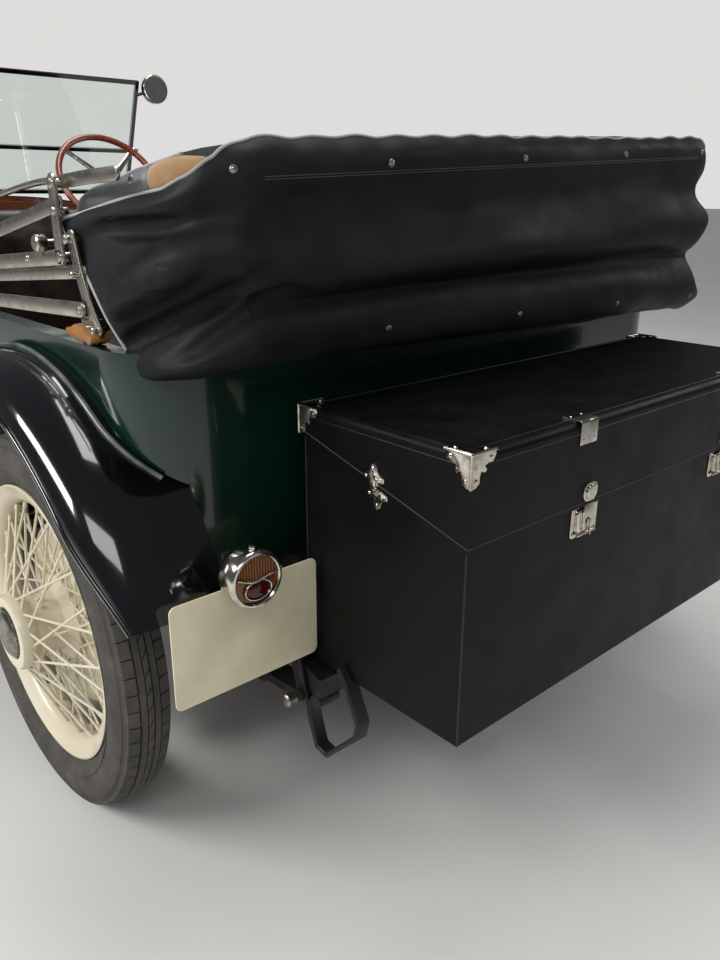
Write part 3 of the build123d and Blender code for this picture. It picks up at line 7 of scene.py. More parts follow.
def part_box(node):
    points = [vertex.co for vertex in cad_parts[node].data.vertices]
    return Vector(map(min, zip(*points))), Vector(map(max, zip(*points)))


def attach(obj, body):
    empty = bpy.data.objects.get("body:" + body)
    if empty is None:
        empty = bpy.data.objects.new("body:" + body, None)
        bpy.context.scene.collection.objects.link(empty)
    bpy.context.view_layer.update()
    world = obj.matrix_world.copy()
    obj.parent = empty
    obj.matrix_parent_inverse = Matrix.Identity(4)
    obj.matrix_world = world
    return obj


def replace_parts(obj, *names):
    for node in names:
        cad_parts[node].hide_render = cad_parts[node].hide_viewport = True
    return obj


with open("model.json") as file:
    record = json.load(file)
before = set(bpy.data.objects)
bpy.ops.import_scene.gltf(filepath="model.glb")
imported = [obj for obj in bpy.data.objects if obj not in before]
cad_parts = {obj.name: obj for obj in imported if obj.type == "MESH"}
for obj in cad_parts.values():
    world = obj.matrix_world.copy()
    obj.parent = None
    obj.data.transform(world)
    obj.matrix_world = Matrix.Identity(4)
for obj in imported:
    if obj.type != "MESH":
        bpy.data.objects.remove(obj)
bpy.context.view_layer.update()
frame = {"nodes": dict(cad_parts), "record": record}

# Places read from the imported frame
REAR_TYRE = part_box("tyre_rear_left")
FRONT_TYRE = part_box("tyre_front_left")
REAR_AXLE_Y = (REAR_TYRE[0].y + REAR_TYRE[1].y) / 2
FRONT_AXLE_Y = (FRONT_TYRE[0].y + FRONT_TYRE[1].y) / 2
TYRE_RADIUS = REAR_TYRE[1].z / 2

# The photograph's viewing place: 720 x 960 picture, focal length in its pixels
PHOTO_HEIGHT = 960
FOCAL_PIXELS = 817.4
CAMERA_PLACE = (1.2385, REAR_AXLE_Y + 1.448, 1.1597)
CAMERA_YAW = 41.961
CAMERA_PITCH = 19.515
CAMERA_ROLL = 0.278
SENSOR = 36.0
# Points nearer than this are merged: in a turned piece, and in a tube
TURNED_MERGE, TUBE_MERGE = 0.00002, 0.00001


# Small helpers
def spaced(low, high, count):
    """Evenly spaced numbers, both ends among them."""
    return [low + (high - low) * i / (count - 1) for i in range(count)]


def both_sides(points):
    """A symmetric outline from its first half, the other half following in reverse."""
    return points + [(-u, v) for u, v in reversed(points)]


def deselect():
    bpy.ops.object.select_all(action="DESELECT")


def activate(piece):
    deselect()
    piece.select_set(True)
    bpy.context.view_layer.objects.active = piece


def settle(piece):
    """Put a finished object at the origin, with its place in its mesh."""
    activate(piece)
    bpy.ops.object.transform_apply(location=True, rotation=True, scale=True)
    return piece


def named(piece, name):
    piece.name = name
    piece.data.name = name
    return piece


def primitive(kind, name, **settings):
    """Add one primitive with nothing else selected."""
    deselect()
    getattr(bpy.ops.mesh, f"primitive_{kind}_add")(**settings)
    return named(bpy.context.object, name)


def modify(piece, kind, **settings):
    """Add a modifier and apply it."""
    activate(piece)
    modifier = piece.modifiers.new(kind.lower(), kind)
    for key, value in settings.items():
        setattr(modifier, key, value)
    bpy.ops.object.modifier_apply(modifier=modifier.name)
    return piece


def smooth(piece, angle=35.0):
    activate(piece)
    bpy.ops.object.shade_smooth_by_angle(angle=math.radians(angle))
    return piece


def face_outward(piece, merge=0.0):
    """Turn a mesh's faces outwards, its doubled points merged first if asked."""
    activate(piece)
    bpy.ops.object.mode_set(mode="EDIT")
    bpy.ops.mesh.select_all(action="SELECT")
    if merge > 0:
        bpy.ops.mesh.remove_doubles(threshold=merge)
    bpy.ops.mesh.normals_make_consistent(inside=False)
    bpy.ops.object.mode_set(mode="OBJECT")


def face_towards(piece, way):
    """Flip a sheet that faces away from the given way."""
    if sum(p.normal.dot(way) * p.area for p in piece.data.polygons) < 0:
        piece.data.flip_normals()


def block(name, low, high, bevel=0.0, segments=2):
    """A box between two corners, its edges rounded."""
    low, high = Vector(low), Vector(high)
    piece = primitive("cube", name, size=1.0, location=(low + high) / 2)
    piece.scale = high - low
    settle(piece)
    if bevel > 0:
        modify(piece, "BEVEL", width=bevel, segments=segments, limit_method="ANGLE")
        smooth(piece)
    return piece


def bar(name, start, end, radius, sides=16, bevel=0.0):
    """A round bar between two points."""
    start, end = Vector(start), Vector(end)
    turn = (end - start).to_track_quat("Z", "Y").to_euler()
    piece = primitive("cylinder", name, vertices=sides, radius=radius, depth=(end - start).length,
                      location=(start + end) / 2, rotation=turn)
    settle(piece)
    if bevel > 0:
        modify(piece, "BEVEL", width=bevel, segments=2, limit_method="ANGLE")
    return smooth(piece)


def chain(name, points):
    """A string of edges through the points, extruded from one vertex."""
    piece = primitive("plane", name, size=0.01)
    bpy.ops.object.mode_set(mode="EDIT")
    bpy.ops.mesh.select_all(action="SELECT")
    bpy.ops.mesh.merge(type="CENTER")
    bpy.ops.transform.translate(value=Vector(points[0]))
    for here, there in zip(points, points[1:]):
        step = Vector(there) - Vector(here)
        bpy.ops.mesh.extrude_region_move(TRANSFORM_OT_translate={"value": step})
    bpy.ops.object.mode_set(mode="OBJECT")
    return piece


def turned(name, outline, centre, steps=48, axis=(1, 0, 0), closed=False, angle=35.0):
    """A round piece spun from (along, radius) points about an axis through the centre."""
    along = Vector(axis)
    out = Vector((0, 0, 1)) if abs(along.z) < 0.9 else Vector((0, -1, 0))
    out = (out - along * out.dot(along)).normalized()
    points = [Vector(centre) + along * a + out * r for a, r in outline]
    if closed:
        points.append(points[0])
    piece = chain(name, points)
    bpy.ops.object.mode_set(mode="EDIT")
    bpy.ops.mesh.select_all(action="SELECT")
    bpy.ops.mesh.spin(steps=steps, angle=2 * math.pi, center=centre, axis=axis)
    bpy.ops.object.mode_set(mode="OBJECT")
    face_outward(piece, TURNED_MERGE)
    return smooth(piece, angle)


def join(name, pieces):
    deselect()
    for piece in pieces:
        piece.select_set(True)
    bpy.context.view_layer.objects.active = pieces[0]
    bpy.ops.object.join()
    return named(bpy.context.object, name)


def copied(piece, name, matrix=None):
    """A copy with its own mesh, carried to a new place."""
    made = piece.copy()
    made.data = piece.data.copy()
    bpy.context.scene.collection.objects.link(made)
    named(made, name)
    if matrix is not None:
        made.data.transform(matrix)
        if matrix.determinant() < 0:
            made.data.flip_normals()
    return made


def dress(piece, body, slot, *materials):
    """Give the piece its materials and its body; its slot is not used."""
    piece.data.materials.clear()
    for material in materials:
        piece.data.materials.append(material)
    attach(piece, body)
    return piece


def plate(name, outline, thickness, frame_at, bevel=0.0):
    """A flat plate: an outline in a plane's own (u, v), given thickness along its normal."""
    piece = primitive("circle", name, vertices=len(outline), radius=0.01, fill_type="NGON")
    for vertex, (u, v) in zip(piece.data.vertices, outline):
        vertex.co = (u, v, 0.0)
    activate(piece)
    bpy.ops.object.mode_set(mode="EDIT")
    bpy.ops.mesh.select_all(action="SELECT")
    bpy.ops.mesh.extrude_region_move(TRANSFORM_OT_translate={"value": (0, 0, thickness)})
    bpy.ops.object.mode_set(mode="OBJECT")
    face_outward(piece)
    if bevel > 0:
        modify(piece, "BEVEL", width=bevel, segments=2, limit_method="ANGLE")
    piece.data.transform(frame_at)
    if frame_at.determinant() < 0:
        piece.data.flip_normals()
    return smooth(piece)


def plane_at(origin, u_axis, v_axis):
    """A frame with its own u and v axes, its normal u x v."""
    u, v = Vector(u_axis).normalized(), Vector(v_axis).normalized()
    n = u.cross(v)
    return Matrix(((u.x, v.x, n.x, origin[0]), (u.y, v.y, n.y, origin[1]), (u.z, v.z, n.z, origin[2]),
                   (0, 0, 0, 1)))


def rounded(width, height, radius, steps=5):
    """Outline of a rectangle with round corners about its centre."""
    points = []
    for cx, cy, first in ((1, 1, 0), (-1, 1, 90), (-1, -1, 180), (1, -1, 270)):
        for i in range(steps + 1):
            a = math.radians(first + 90 * i / steps)
            points.append((cx * (width / 2 - radius) + radius * math.cos(a),
                           cy * (height / 2 - radius) + radius * math.sin(a)))
    return points


def tube(name, points, radius, sides=4, closed=False, smooth_path=True, taper=None):
    """A round pipe along a path; sides is the curve's bevel resolution."""
    data = bpy.data.curves.new(name, "CURVE")
    data.dimensions = "3D"
    data.bevel_depth = radius
    data.bevel_resolution = sides
    data.use_fill_caps = True
    spline = data.splines.new("NURBS" if smooth_path else "POLY")
    spline.points.add(len(points) - 1)
    for i, point in enumerate(points):
        spline.points[i].co = (*point, 1.0)
        spline.points[i].radius = taper[i] if taper else 1.0
    if smooth_path:
        spline.order_u = 3
        spline.use_endpoint_u = not closed
        spline.resolution_u = 4
    spline.use_cyclic_u = closed
    piece = bpy.data.objects.new(name, data)
    bpy.context.scene.collection.objects.link(piece)
    activate(piece)
    bpy.ops.object.convert(target="MESH")
    piece = named(bpy.context.object, name)
    face_outward(piece, TUBE_MERGE)
    return smooth(piece, 60.0)


def dome(name, centre, radius, height, axis=(0, 0, 1), segments=16):
    """A low round head, such as a rivet, stud or screw."""
    outline = [(0.0, radius), (height * 0.45, radius * 0.92), (height * 0.8, radius * 0.62),
               (height * 0.97, radius * 0.3), (height, 0.0)]
    return turned(name, outline, centre, steps=segments, axis=axis)


def mirrored(piece, name):
    return copied(piece, name, Matrix.Scale(-1, 4, (1, 0, 0)))


def both(name, pieces):
    """One piece from the left side's pieces and their mirror image."""
    left = join(name, pieces)
    return join(name, [left, mirrored(left, f"{name}_right")])


# Material helpers
def linear(code):
    """An sRGB hex colour as linear numbers."""
    parts = [int(code[i:i + 2], 16) / 255 for i in (1, 3, 5)]
    return [p / 12.92 if p <= 0.04045 else ((p + 0.055) / 1.055) ** 2.4 for p in parts] + [1.0]


def add(tree, kind, inputs=None, **settings):
    """One node with its settings; inputs holds values, or the outputs of other nodes."""
    made = tree.nodes.new(f"ShaderNode{kind}")
    for key, value in settings.items():
        setattr(made, key, value)
    for socket, value in (inputs or {}).items():
        if isinstance(value, bpy.types.NodeSocket):
            tree.links.new(value, made.inputs[socket])
        else:
            made.inputs[socket].default_value = value
    return made


def new_material(name, **surface):
    """A material with its shader and object coordinates."""
    material = bpy.data.materials.new(name)
    material.use_nodes = True
    tree = material.node_tree
    tree.nodes.clear()
    shader = add(tree, "BsdfPrincipled", surface)
    add(tree, "OutputMaterial", {"Surface": shader.outputs[0]})
    return material, tree, shader, add(tree, "TexCoord").outputs["Object"]


def patches(tree, place, size_mm, detail=3.0, rough=0.55, low=0.0, high=1.0):
    """Cloudy patches about size_mm across, spread from 0 to 1 between two levels."""
    cloud = add(tree, "TexNoise", {"Vector": place, "Scale": 1000.0 / size_mm, "Detail": detail,
                                   "Roughness": rough}).outputs[0]
    return add(tree, "MapRange", {0: cloud, 1: low, 2: high, 3: 0.0, 4: 1.0}).outputs[0]


def lay_surface(tree, shader, share, colors, wear, roughness, height, depth_mm, strength):
    """Two colours mixed by a share, a roughness that follows the wear, and a fine relief."""
    color = add(tree, "Mix", {0: share, 6: linear(colors[0]), 7: linear(colors[1])}, data_type="RGBA")
    gloss = add(tree, "MapRange", {0: wear, 1: 0.0, 2: 1.0, 3: roughness[0], 4: roughness[1]})
    relief = add(tree, "Bump", {"Strength": strength, "Distance": depth_mm / 1000.0, "Height": height})
    tree.links.new(color.outputs[2], shader.inputs["Base Color"])
    tree.links.new(gloss.outputs[0], shader.inputs["Roughness"])
    tree.links.new(relief.outputs[0], shader.inputs["Normal"])


def enamel(name, main, second, roughness, coat, wave_mm=220.0):
    """Coach or stove enamel: colour under gloss, with faint long waves and fine dust."""
    material, tree, shader, place = new_material(name, **{"Coat Weight": coat, "Coat Roughness": 0.03})
    cloud = patches(tree, place, wave_mm, 2.0, low=0.35, high=0.65)
    dust = patches(tree, place, 2.5, 4.0, 0.7, 0.3, 0.7)
    waves = patches(tree, place, wave_mm / 3, 1.0)
    lay_surface(tree, shader, cloud, (main, second), dust, roughness, waves, 0.25, 0.12)
    return material


def plated(name, main, second, roughness, smear_mm=18.0):
    """Plated or polished metal: bright, with soft smears of tarnish."""
    material, tree, shader, place = new_material(name, **{"Metallic": 1.0})
    smear = patches(tree, place, smear_mm, 5.0, 0.65, 0.42, 0.68)
    ripple = patches(tree, place, 9.0, 2.0)
    lay_surface(tree, shader, smear, (main, second), smear, roughness, ripple, 0.03, 0.08)
    return material


def painted_iron(name, main, second, roughness):
    """Brushed-on chassis paint over castings and pressings, with grime in the texture."""
    material, tree, shader, place = new_material(name, **{"Specular IOR Level": 0.45})
    grime = patches(tree, place, 30.0, 6.0, 0.65, 0.40, 0.70)
    grit = patches(tree, place, 1.8, 4.0, 0.6)
    lay_surface(tree, shader, grime, (main, second), grime, roughness, grit, 0.12, 0.35)
    return material


def hide(name, main, second, roughness, grain_mm=2.2, depth_mm=0.25, gloss=0.5):
    """Leather or coated cloth: pebbled grain cells, with worn patches of the second colour."""
    material, tree, shader, place = new_material(name, **{"Specular IOR Level": gloss})
    cells = add(tree, "TexVoronoi", {"Vector": place, "Scale": 1000.0 / grain_mm}).outputs[0]
    wear = patches(tree, place, 60.0, 5.0, 0.6, 0.35, 0.70)
    lay_surface(tree, shader, wear, (main, second), wear, roughness, cells, depth_mm, 0.45)
    return material


def weave(name, main, second, roughness, thread_mm, depth_mm=0.3, sheen=0.25, gloss=0.3):
    """Woven cloth: two crossed sets of threads with soft fading."""
    material, tree, shader, place = new_material(
        name, **{"Sheen Weight": sheen, "Sheen Roughness": 0.5, "Specular IOR Level": gloss})
    askew = add(tree, "Mapping", {"Vector": place, "Rotation": (0.6, 0.5, 0.4)}).outputs[0]
    warp, weft = (
        add(tree, "TexWave", {"Vector": askew, "Scale": 1000.0 / thread_mm / 20.0, "Distortion": 0.6,
                              "Detail": 1.0}, bands_direction=way).outputs["Fac"] for way in ("X", "Y"))
    cloth = add(tree, "Math", {0: warp, 1: weft}, operation="MULTIPLY").outputs[0]
    fade = patches(tree, place, 90.0, 4.0, 0.6, 0.35, 0.68)
    lay_surface(tree, shader, fade, (main, second), fade, roughness, cloth, depth_mm, 0.4)
    return material


def grained_wood(name, dark, light, roughness, coat, grain_mm=4.0, stretch=(1.0, 0.12, 1.0)):
    """Varnished timber: long uneven grain lines under a clear coat."""
    material, tree, shader, place = new_material(name, **{"Coat Weight": coat, "Coat Roughness": 0.08})
    along = add(tree, "Mapping", {"Vector": place, "Scale": stretch}).outputs[0]
    grain = add(tree, "TexNoise", {"Vector": along, "Scale": 1000.0 / grain_mm / 4, "Detail": 6.0,
                                   "Roughness": 0.6, "Distortion": 0.8}).outputs[0]
    lines = add(tree, "MapRange", {0: grain, 1: 0.38, 2: 0.64, 3: 0.0, 4: 1.0}).outputs[0]
    lay_surface(tree, shader, lines, (dark, light), lines, (roughness, roughness), grain, 0.15, 0.2)
    return material


def rubber(name, main, second, roughness, dust_mm=70.0):
    """Vulcanised rubber: matt, greyed by bloom and road dust."""
    material, tree, shader, place = new_material(name, **{"Specular IOR Level": 0.35})
    dust = patches(tree, place, dust_mm, 6.0, 0.65, 0.38, 0.66)
    grit = patches(tree, place, 1.2, 3.0)
    lay_surface(tree, shader, dust, (main, second), dust, roughness, grit, 0.1, 0.3)
    return material


def pane_glass(name, tint, roughness=0.01, transmission=1.0):
    """Polished plate or moulded lens glass, with the faint haze of old glass."""
    material, tree, shader, place = new_material(
        name, **{"Transmission Weight": transmission, "IOR": 1.5, "Roughness": roughness})
    haze = patches(tree, place, 120.0, low=0.3, high=0.7)
    clear = linear(tint)
    dim = [0.96 * c for c in clear[:3]] + [1.0]
    color = add(tree, "Mix", {0: haze, 6: clear, 7: dim}, data_type="RGBA")
    tree.links.new(color.outputs[2], shader.inputs["Base Color"])
    return material


# Finishes, named for what the real ones are. Threads, pebbles of grain and grit are finer than a pixel in
# life, so all of them are drawn coarser here, just coarse enough to show.
# Coach enamel, brushed in coats, rubbed down and varnished: deep green, its gloss waving a little
BODY_ENAMEL = enamel("green_coach_enamel", "#08281B", "#062016", (0.16, 0.26), 0.5)
# Stove enamel, dipped and baked on pressed steel: hard black with sharp reflections
FENDER_ENAMEL = enamel("black_stove_enamel", "#08080A", "#0B0C0F", (0.08, 0.16), 1.0)
# The same enamel on a bead, coloured grey as a painted highlight: the pale line where it catches light
PAINTED_HIGHLIGHT_BEAD_ENAMEL = enamel("bead_enamel_painted_highlight", "#3C423F", "#6D716C", (0.18, 0.30), 0.6, 60.0)
# Chassis paint, brushed over iron: satin black with brown grime
CHASSIS_PAINT = painted_iron("satin_chassis_paint", "#151515", "#24211D", (0.42, 0.65))
# Wheel enamel, sprayed: cream with a soft gloss, yellowed in patches
WHEEL_ENAMEL = enamel("cream_wheel_enamel", "#D9D1B9", "#C9BFA4", (0.28, 0.42), 0.35)
# Vulcanised rubber, moulded: dull dark grey with a dusty bloom
TYRE_RUBBER = rubber("tyre_rubber", "#3A3835", "#55514C", (0.75, 0.92))
# Nickel plate, polished: warm white metal with soft smears
NICKEL = plated("nickel_plate", "#D8D3C8", "#A9A294", (0.10, 0.26))
# Turned steel nuts, handled for years: greyer and duller than the plate
BRIGHT_IRON = plated("polished_wheel_nut", "#8C8880", "#5E5A53", (0.22, 0.42))
# Nickel plate, weathered: grey with a broad shine
DULL_NICKEL = plated("worn_nickel", "#A8A49B", "#77736A", (0.28, 0.50))
# Brass honeycomb, painted black: matt, brown where the paint is thin
MATRIX = painted_iron("blackened_honeycomb", "#1B1813", "#2C261C", (0.45, 0.7))
# Cowhide, tanned, dyed and pebbled: brown-black with a low shine
SEAT_HIDE = hide("worn_black_hide", "#1E1613", "#33261F", (0.34, 0.52))
# Rubberised cotton duck, woven and coated: charcoal, nearly matt
HOOD_CLOTH = weave("rubberised_duck_cloth", "#17181A", "#1F2123", (0.50, 0.66), 1.6, 0.20, 0.0, 0.14)
# Coated cloth, embossed and glued over plywood: blue-black with a dull shine
TRUNK_CLOTH = hide("grained_trunk_cloth", "#050608", "#090B0D", (0.38, 0.50), 1.6, 0.12, 0.14)
# Softwood boards, planed and varnished: brown with long grain
FLOOR_TIMBER = grained_wood("varnished_floorboards", "#4A3020", "#7A5535", 0.45, 0.2)
# Walnut veneer, glued on and varnished: warm dark grain under a deep gloss
DASH_VENEER = grained_wood("walnut_veneer", "#3A1D0F", "#6E3B1E", 0.25, 0.8, 3.0, (0.1, 1.0, 1.0))
# Wood steamed round, stained and varnished: red-brown and glossy from hands
RIM_TIMBER = grained_wood("polished_rim_wood", "#5A1E10", "#8A3A1E", 0.28, 0.8, 3.0, (1.0, 1.0, 1.0))
# Cast iron, poured in sand: rough grey under an oil film
CAST_IRON = painted_iron("oily_cast_iron", "#343432", "#4A4740", (0.45, 0.7))
# Enamel on tin, yellowed: flat cream
PLATE_ENAMEL = enamel("aged_plate_enamel", "#DDD6BA", "#CFC6A6", (0.32, 0.45), 0.2, 90.0)
# Plate glass, ground and polished: clear with a green tint
WINDOW_GLASS = pane_glass("plate_glass", "#EAF2EE")
# Cotton cord, covered in cloth: a pale matt line
PIPING_CLOTH = weave("grey_piping_cord", "#8E8F8E", "#A7A6A2", (0.6, 0.8), 1.2, 0.15, 0.1)
# Lining cloth, woven and glued into the seam: a dark grey edge
SEAM_LINING = weave("trunk_seam_lining", "#2C2D2E", "#3A3B3B", (0.6, 0.8), 1.2, 0.10, 0.1)
# Linen thread, twisted and waxed: a grey line of stitches
THREAD = weave("waxed_thread", "#3A3B3C", "#4A4A49", (0.6, 0.8), 1.0, 0.05, 0.1)
# Side-curtain cloth, woven and coated with rubber: grey with a wet shine
STRAP_CLOTH = weave("grey_side_cloth", "#4E5052", "#66686A", (0.38, 0.52), 1.6, 0.25, 0.0, 0.5)
# Harness leather, tanned and waxed: tan, a little shiny
TAN_LEATHER = hide("tan_strap_leather", "#8A5A2C", "#A8733C", (0.42, 0.6), 2.0, 0.2)
# Wool carpet, its pile cut: dark green with no shine
CARPET = weave("cut_pile_carpet", "#1C2A24", "#25352D", (0.85, 0.95), 3.0, 0.9, 0.3)
# Nickel plate on the irons, rubbed by folding: bright with broad dull patches
IRON_NICKEL = plated("rubbed_nickel", "#C6C1B6", "#A59F93", (0.24, 0.40), 40.0)
# Cotton lining of the hood, woven: tan and matt
LINING_CLOTH = weave("tan_hood_lining", "#8B6A45", "#9F7E58", (0.75, 0.9), 1.4, 0.2)
# Coated strip, pressed and sewn on the trunk's edges: black, shinier than the cloth
TRUNK_BINDING = hide("trunk_edge_binding", "#0F1012", "#17181A", (0.36, 0.5), 1.2, 0.12)
# Amber glass, pressed with flutes: warm and half clear
AMBER_GLASS = pane_glass("amber_lens_glass", "#B5702C", 0.08, 0.75)
# Ruby glass, moulded: dark red and half clear
RUBY_GLASS = pane_glass("ruby_lens_glass", "#5E1512", 0.06, 0.6)
# Silvered glass, coated on its back: a sharp bright mirror
MIRROR_SILVER = plated("mirror_silver", "#E6E6E2", "#DADAD4", (0.02, 0.05), 60.0)
# Lens glass, moulded: clear and faintly frosted
LENS_GLASS = pane_glass("moulded_lens_glass", "#F2F4F0", 0.05)

SLOT_FINISH = {
    "green_enamel": BODY_ENAMEL,
    "black_enamel": FENDER_ENAMEL,
    "chassis_black": CHASSIS_PAINT,
    "cream_enamel": WHEEL_ENAMEL,
    "tyre_rubber": TYRE_RUBBER,
    "nickel": NICKEL,
    "radiator_matrix": MATRIX,
    "seat_leather": SEAT_HIDE,
    "hood_cloth": HOOD_CLOTH,
    "trunk_cloth": TRUNK_CLOTH,
    "floor_wood": FLOOR_TIMBER,
    "dash_wood": DASH_VENEER,
    "rim_wood": RIM_TIMBER,
    "engine_iron": CAST_IRON,
    "pane": WINDOW_GLASS,
    "plate_cream": PLATE_ENAMEL,
}


def dress_frame():
    """Every carried-over node gets the finish of its slot."""
    for part in frame["record"]["subparts"]:
        node = frame["nodes"][part["node"]]
        node.data.materials.clear()
        node.data.materials.append(SLOT_FINISH[part["material_slot"]])


# Wheels and tyres: modelled once about the origin, outer side towards +X, then carried to their places
RIM_OUTSIDE = [
    (-0.0355, 0.266), (-0.0380, 0.270), (-0.0365, 0.274), (-0.0330, 0.2735), (-0.0305, 0.268),
    (-0.028, 0.259), (-0.022, 0.254), (-0.014, 0.247),
]
RIM_INSIDE = [(0.0315, 0.254), (0.024, 0.243), (0.014, 0.237)]
RIM_OUTLINE = both_sides(RIM_OUTSIDE) + both_sides(RIM_INSIDE)
TYRE_SIDE = [
    (-0.0280, 0.262), (-0.0315, 0.272), (-0.0345, 0.279), (-0.0415, 0.289), (-0.0475, 0.301),
    (-0.0500, 0.315), (-0.0495, 0.328), (-0.0465, 0.341), (-0.0425, 0.351), (-0.0385, 0.3570),
    (-0.026, 0.3615), (-0.013, 0.3640),
]
TYRE_OUTLINE = TYRE_SIDE + [(0.0, 0.3648)] + both_sides(TYRE_SIDE)[len(TYRE_SIDE):] + [(0.0, 0.2585)]
# Tread blocks: inner x, inner radius, outer x, outer radius, half length, slant of the block
TREAD_BLOCKS = [
    (0.0200, 0.3680, 0.0395, 0.3615, 0.0148, 0.0005),
    (-0.0200, 0.3680, -0.0395, 0.3615, 0.0148, -0.0005),
    (-0.0050, 0.3698, 0.0050, 0.3698, 0.0142, 0.0080),
]
# Plain ribs between them: inner x, radius there, outer x, radius there
TREAD_RIBS = [(0.0072, 0.3696, 0.0175, 0.3686), (-0.0072, 0.3696, -0.0175, 0.3686)]
TREAD_PITCHES = 72
# Spokes: hub x, hub radius, rim x, lacing angle in degrees, count, first angle one way and the other way
SPOKE_LACES = [
    (0.082, 0.066, 0.009, 38.0, 12, 0.0, 15.0),
    (0.040, 0.060, 0.003, 24.0, 6, 8.0, 38.0),
    (-0.004, 0.078, -0.009, 46.0, 15, 4.0, 16.0),
]
SPOKE_ROWS = [(*lace[:3], lace[3] * way, lace[4], first) for lace in SPOKE_LACES
              for way, first in ((1, lace[5]), (-1, lace[6]))]
HUB_OUTLINE = [
    (-0.024, 0.040), (-0.024, 0.084), (-0.012, 0.088), (-0.004, 0.086), (0.003, 0.074), (0.010, 0.062),
    (0.034, 0.056), (0.058, 0.058), (0.068, 0.068), (0.076, 0.0735), (0.090, 0.0735), (0.096, 0.070),
    (0.098, 0.060), (0.096, 0.052), (0.084, 0.050), (0.084, 0.0),
]
CAP_OUTLINE = [(0.072, 0.048), (0.098, 0.046), (0.103, 0.040), (0.105, 0.030), (0.1075, 0.020), (0.108, 0.0)]
DRUM_OUTLINE = [
    (-0.078, 0.150), (-0.080, 0.184), (-0.078, 0.190), (-0.070, 0.190), (-0.066, 0.187), (-0.036, 0.187),
    (-0.028, 0.183), (-0.024, 0.172), (-0.020, 0.160), (-0.022, 0.132), (-0.014, 0.122), (-0.012, 0.104),
    (-0.014, 0.070), (-0.016, 0.040),
]
# Bolt circles: count, radius, x
BOLT_CIRCLES = [(10, 0.146, -0.022), (6, 0.097, -0.014)]
COOLING_FINS = 48
CARRIER_RADIUS = 0.030
CARRIER_FOOT_X = 0.560


def around(angle, radius, x):
    """A point on a wheel, its angle from the top in degrees."""
    turn = math.radians(angle)
    return Vector((x, radius * math.sin(turn), radius * math.cos(turn)))


def ring_of(name, piece, count, first=0.0):
    """Copies of a piece turned evenly about the X axis, joined into one."""
    made = []
    for index in range(count):
        turn = Matrix.Rotation(math.radians(-first - 360 * index / count), 4, "X")
        made.append(copied(piece, f"{name}_{index}", turn))
    bpy.data.objects.remove(piece, do_unlink=True)
    return join(name, made)


def tread_block(name, inner_x, inner_r, outer_x, outer_r, half, slant):
    """One raised block of tread, its top following the crown."""
    piece = primitive("cube", name, size=1.0)
    for vertex in piece.data.vertices:
        out = vertex.co.x > 0
        lift = 0.0 if vertex.co.z > 0 else -0.009
        y = half * (1 if vertex.co.y > 0 else -1) + (slant if out else -slant)
        vertex.co = (outer_x if out else inner_x, y, (outer_r if out else inner_r) + lift)
    face_outward(piece)
    return modify(piece, "BEVEL", width=0.0011, segments=1)


def model_tyre():
    """A casing with moulded ridges, two rows of shoulder blocks, a middle row and two plain ribs."""
    pieces = [turned("tyre", TYRE_OUTLINE, (0, 0, 0), steps=96, closed=True)]
    for row, spec in enumerate(TREAD_BLOCKS):
        piece = tread_block(f"tread_{row}", *spec)
        shift = 180.0 / TREAD_PITCHES if row == 1 else 0.0
        pieces.append(ring_of(f"tread_row_{row}", piece, TREAD_PITCHES, shift))
    for inner_x, inner_r, outer_x, outer_r in TREAD_RIBS:
        outline = [(inner_x, inner_r - 0.008), (inner_x, inner_r), (outer_x, outer_r),
                   (outer_x, outer_r - 0.008)]
        pieces.append(turned("rib", outline, (0, 0, 0), steps=96, closed=True))
    for x, radius in ((0.0488, 0.303), (0.0440, 0.349)):
        for side in (-1, 1):
            outline = [(side * (x - 0.001), radius - 0.0014), (side * (x + 0.0010), radius),
                       (side * (x - 0.001), radius + 0.0014)]
            pieces.append(turned("ridge", outline, (0, 0, 0), steps=96, closed=True))
    return join("tyre_model", pieces)


def model_spokes():
    rows = []
    for row, (hub_x, hub_r, rim_x, lace, count, first) in enumerate(SPOKE_ROWS):
        start = around(lace, hub_r, hub_x)
        end = around(0, 0.240, rim_x)
        wire = bar(f"spoke_{row}", start, end, 0.0026, sides=8)
        way = (end - start).normalized()
        nipple = primitive("cone", f"nipple_{row}", vertices=8, radius1=0.0036, radius2=0.0052, depth=0.020,
                           location=end - way * 0.006, rotation=way.to_track_quat("Z", "Y").to_euler())
        settle(nipple)
        head = primitive("uv_sphere", f"spoke_head_{row}", segments=8, ring_count=5, radius=0.0050,
                         location=start)
        settle(head)
        wire = join(f"spoke_row_{row}", [wire, smooth(nipple), smooth(head)])
        rows.append(ring_of(f"spokes_{row}", wire, count, first))
    return join("spokes_model", rows)


def model_wheel():
    rim = turned("rim", RIM_OUTLINE, (0, 0, 0), steps=96, closed=True, angle=50.0)
    hub = turned("hub", HUB_OUTLINE, (0, 0, 0), steps=48)
    return join("wheel_model", [rim, hub, model_spokes()])


def model_drum():
    """A ribbed brake drum with its ring of bolts."""
    pieces = [turned("drum", DRUM_OUTLINE, (0, 0, 0), steps=64)]
    for count, radius, x in BOLT_CIRCLES:
        bolt = bar("bolt", around(0, radius, x - 0.004), around(0, radius, x + 0.006), 0.0075, sides=6,
                   bevel=0.001)
        pieces.append(ring_of("bolts", bolt, count))
    fin = block("fin", (-0.062, -0.0010, 0.186), (-0.040, 0.0010, 0.1895))
    pieces.append(ring_of("drum_fins", fin, COOLING_FINS))
    return join("drum_model", pieces)


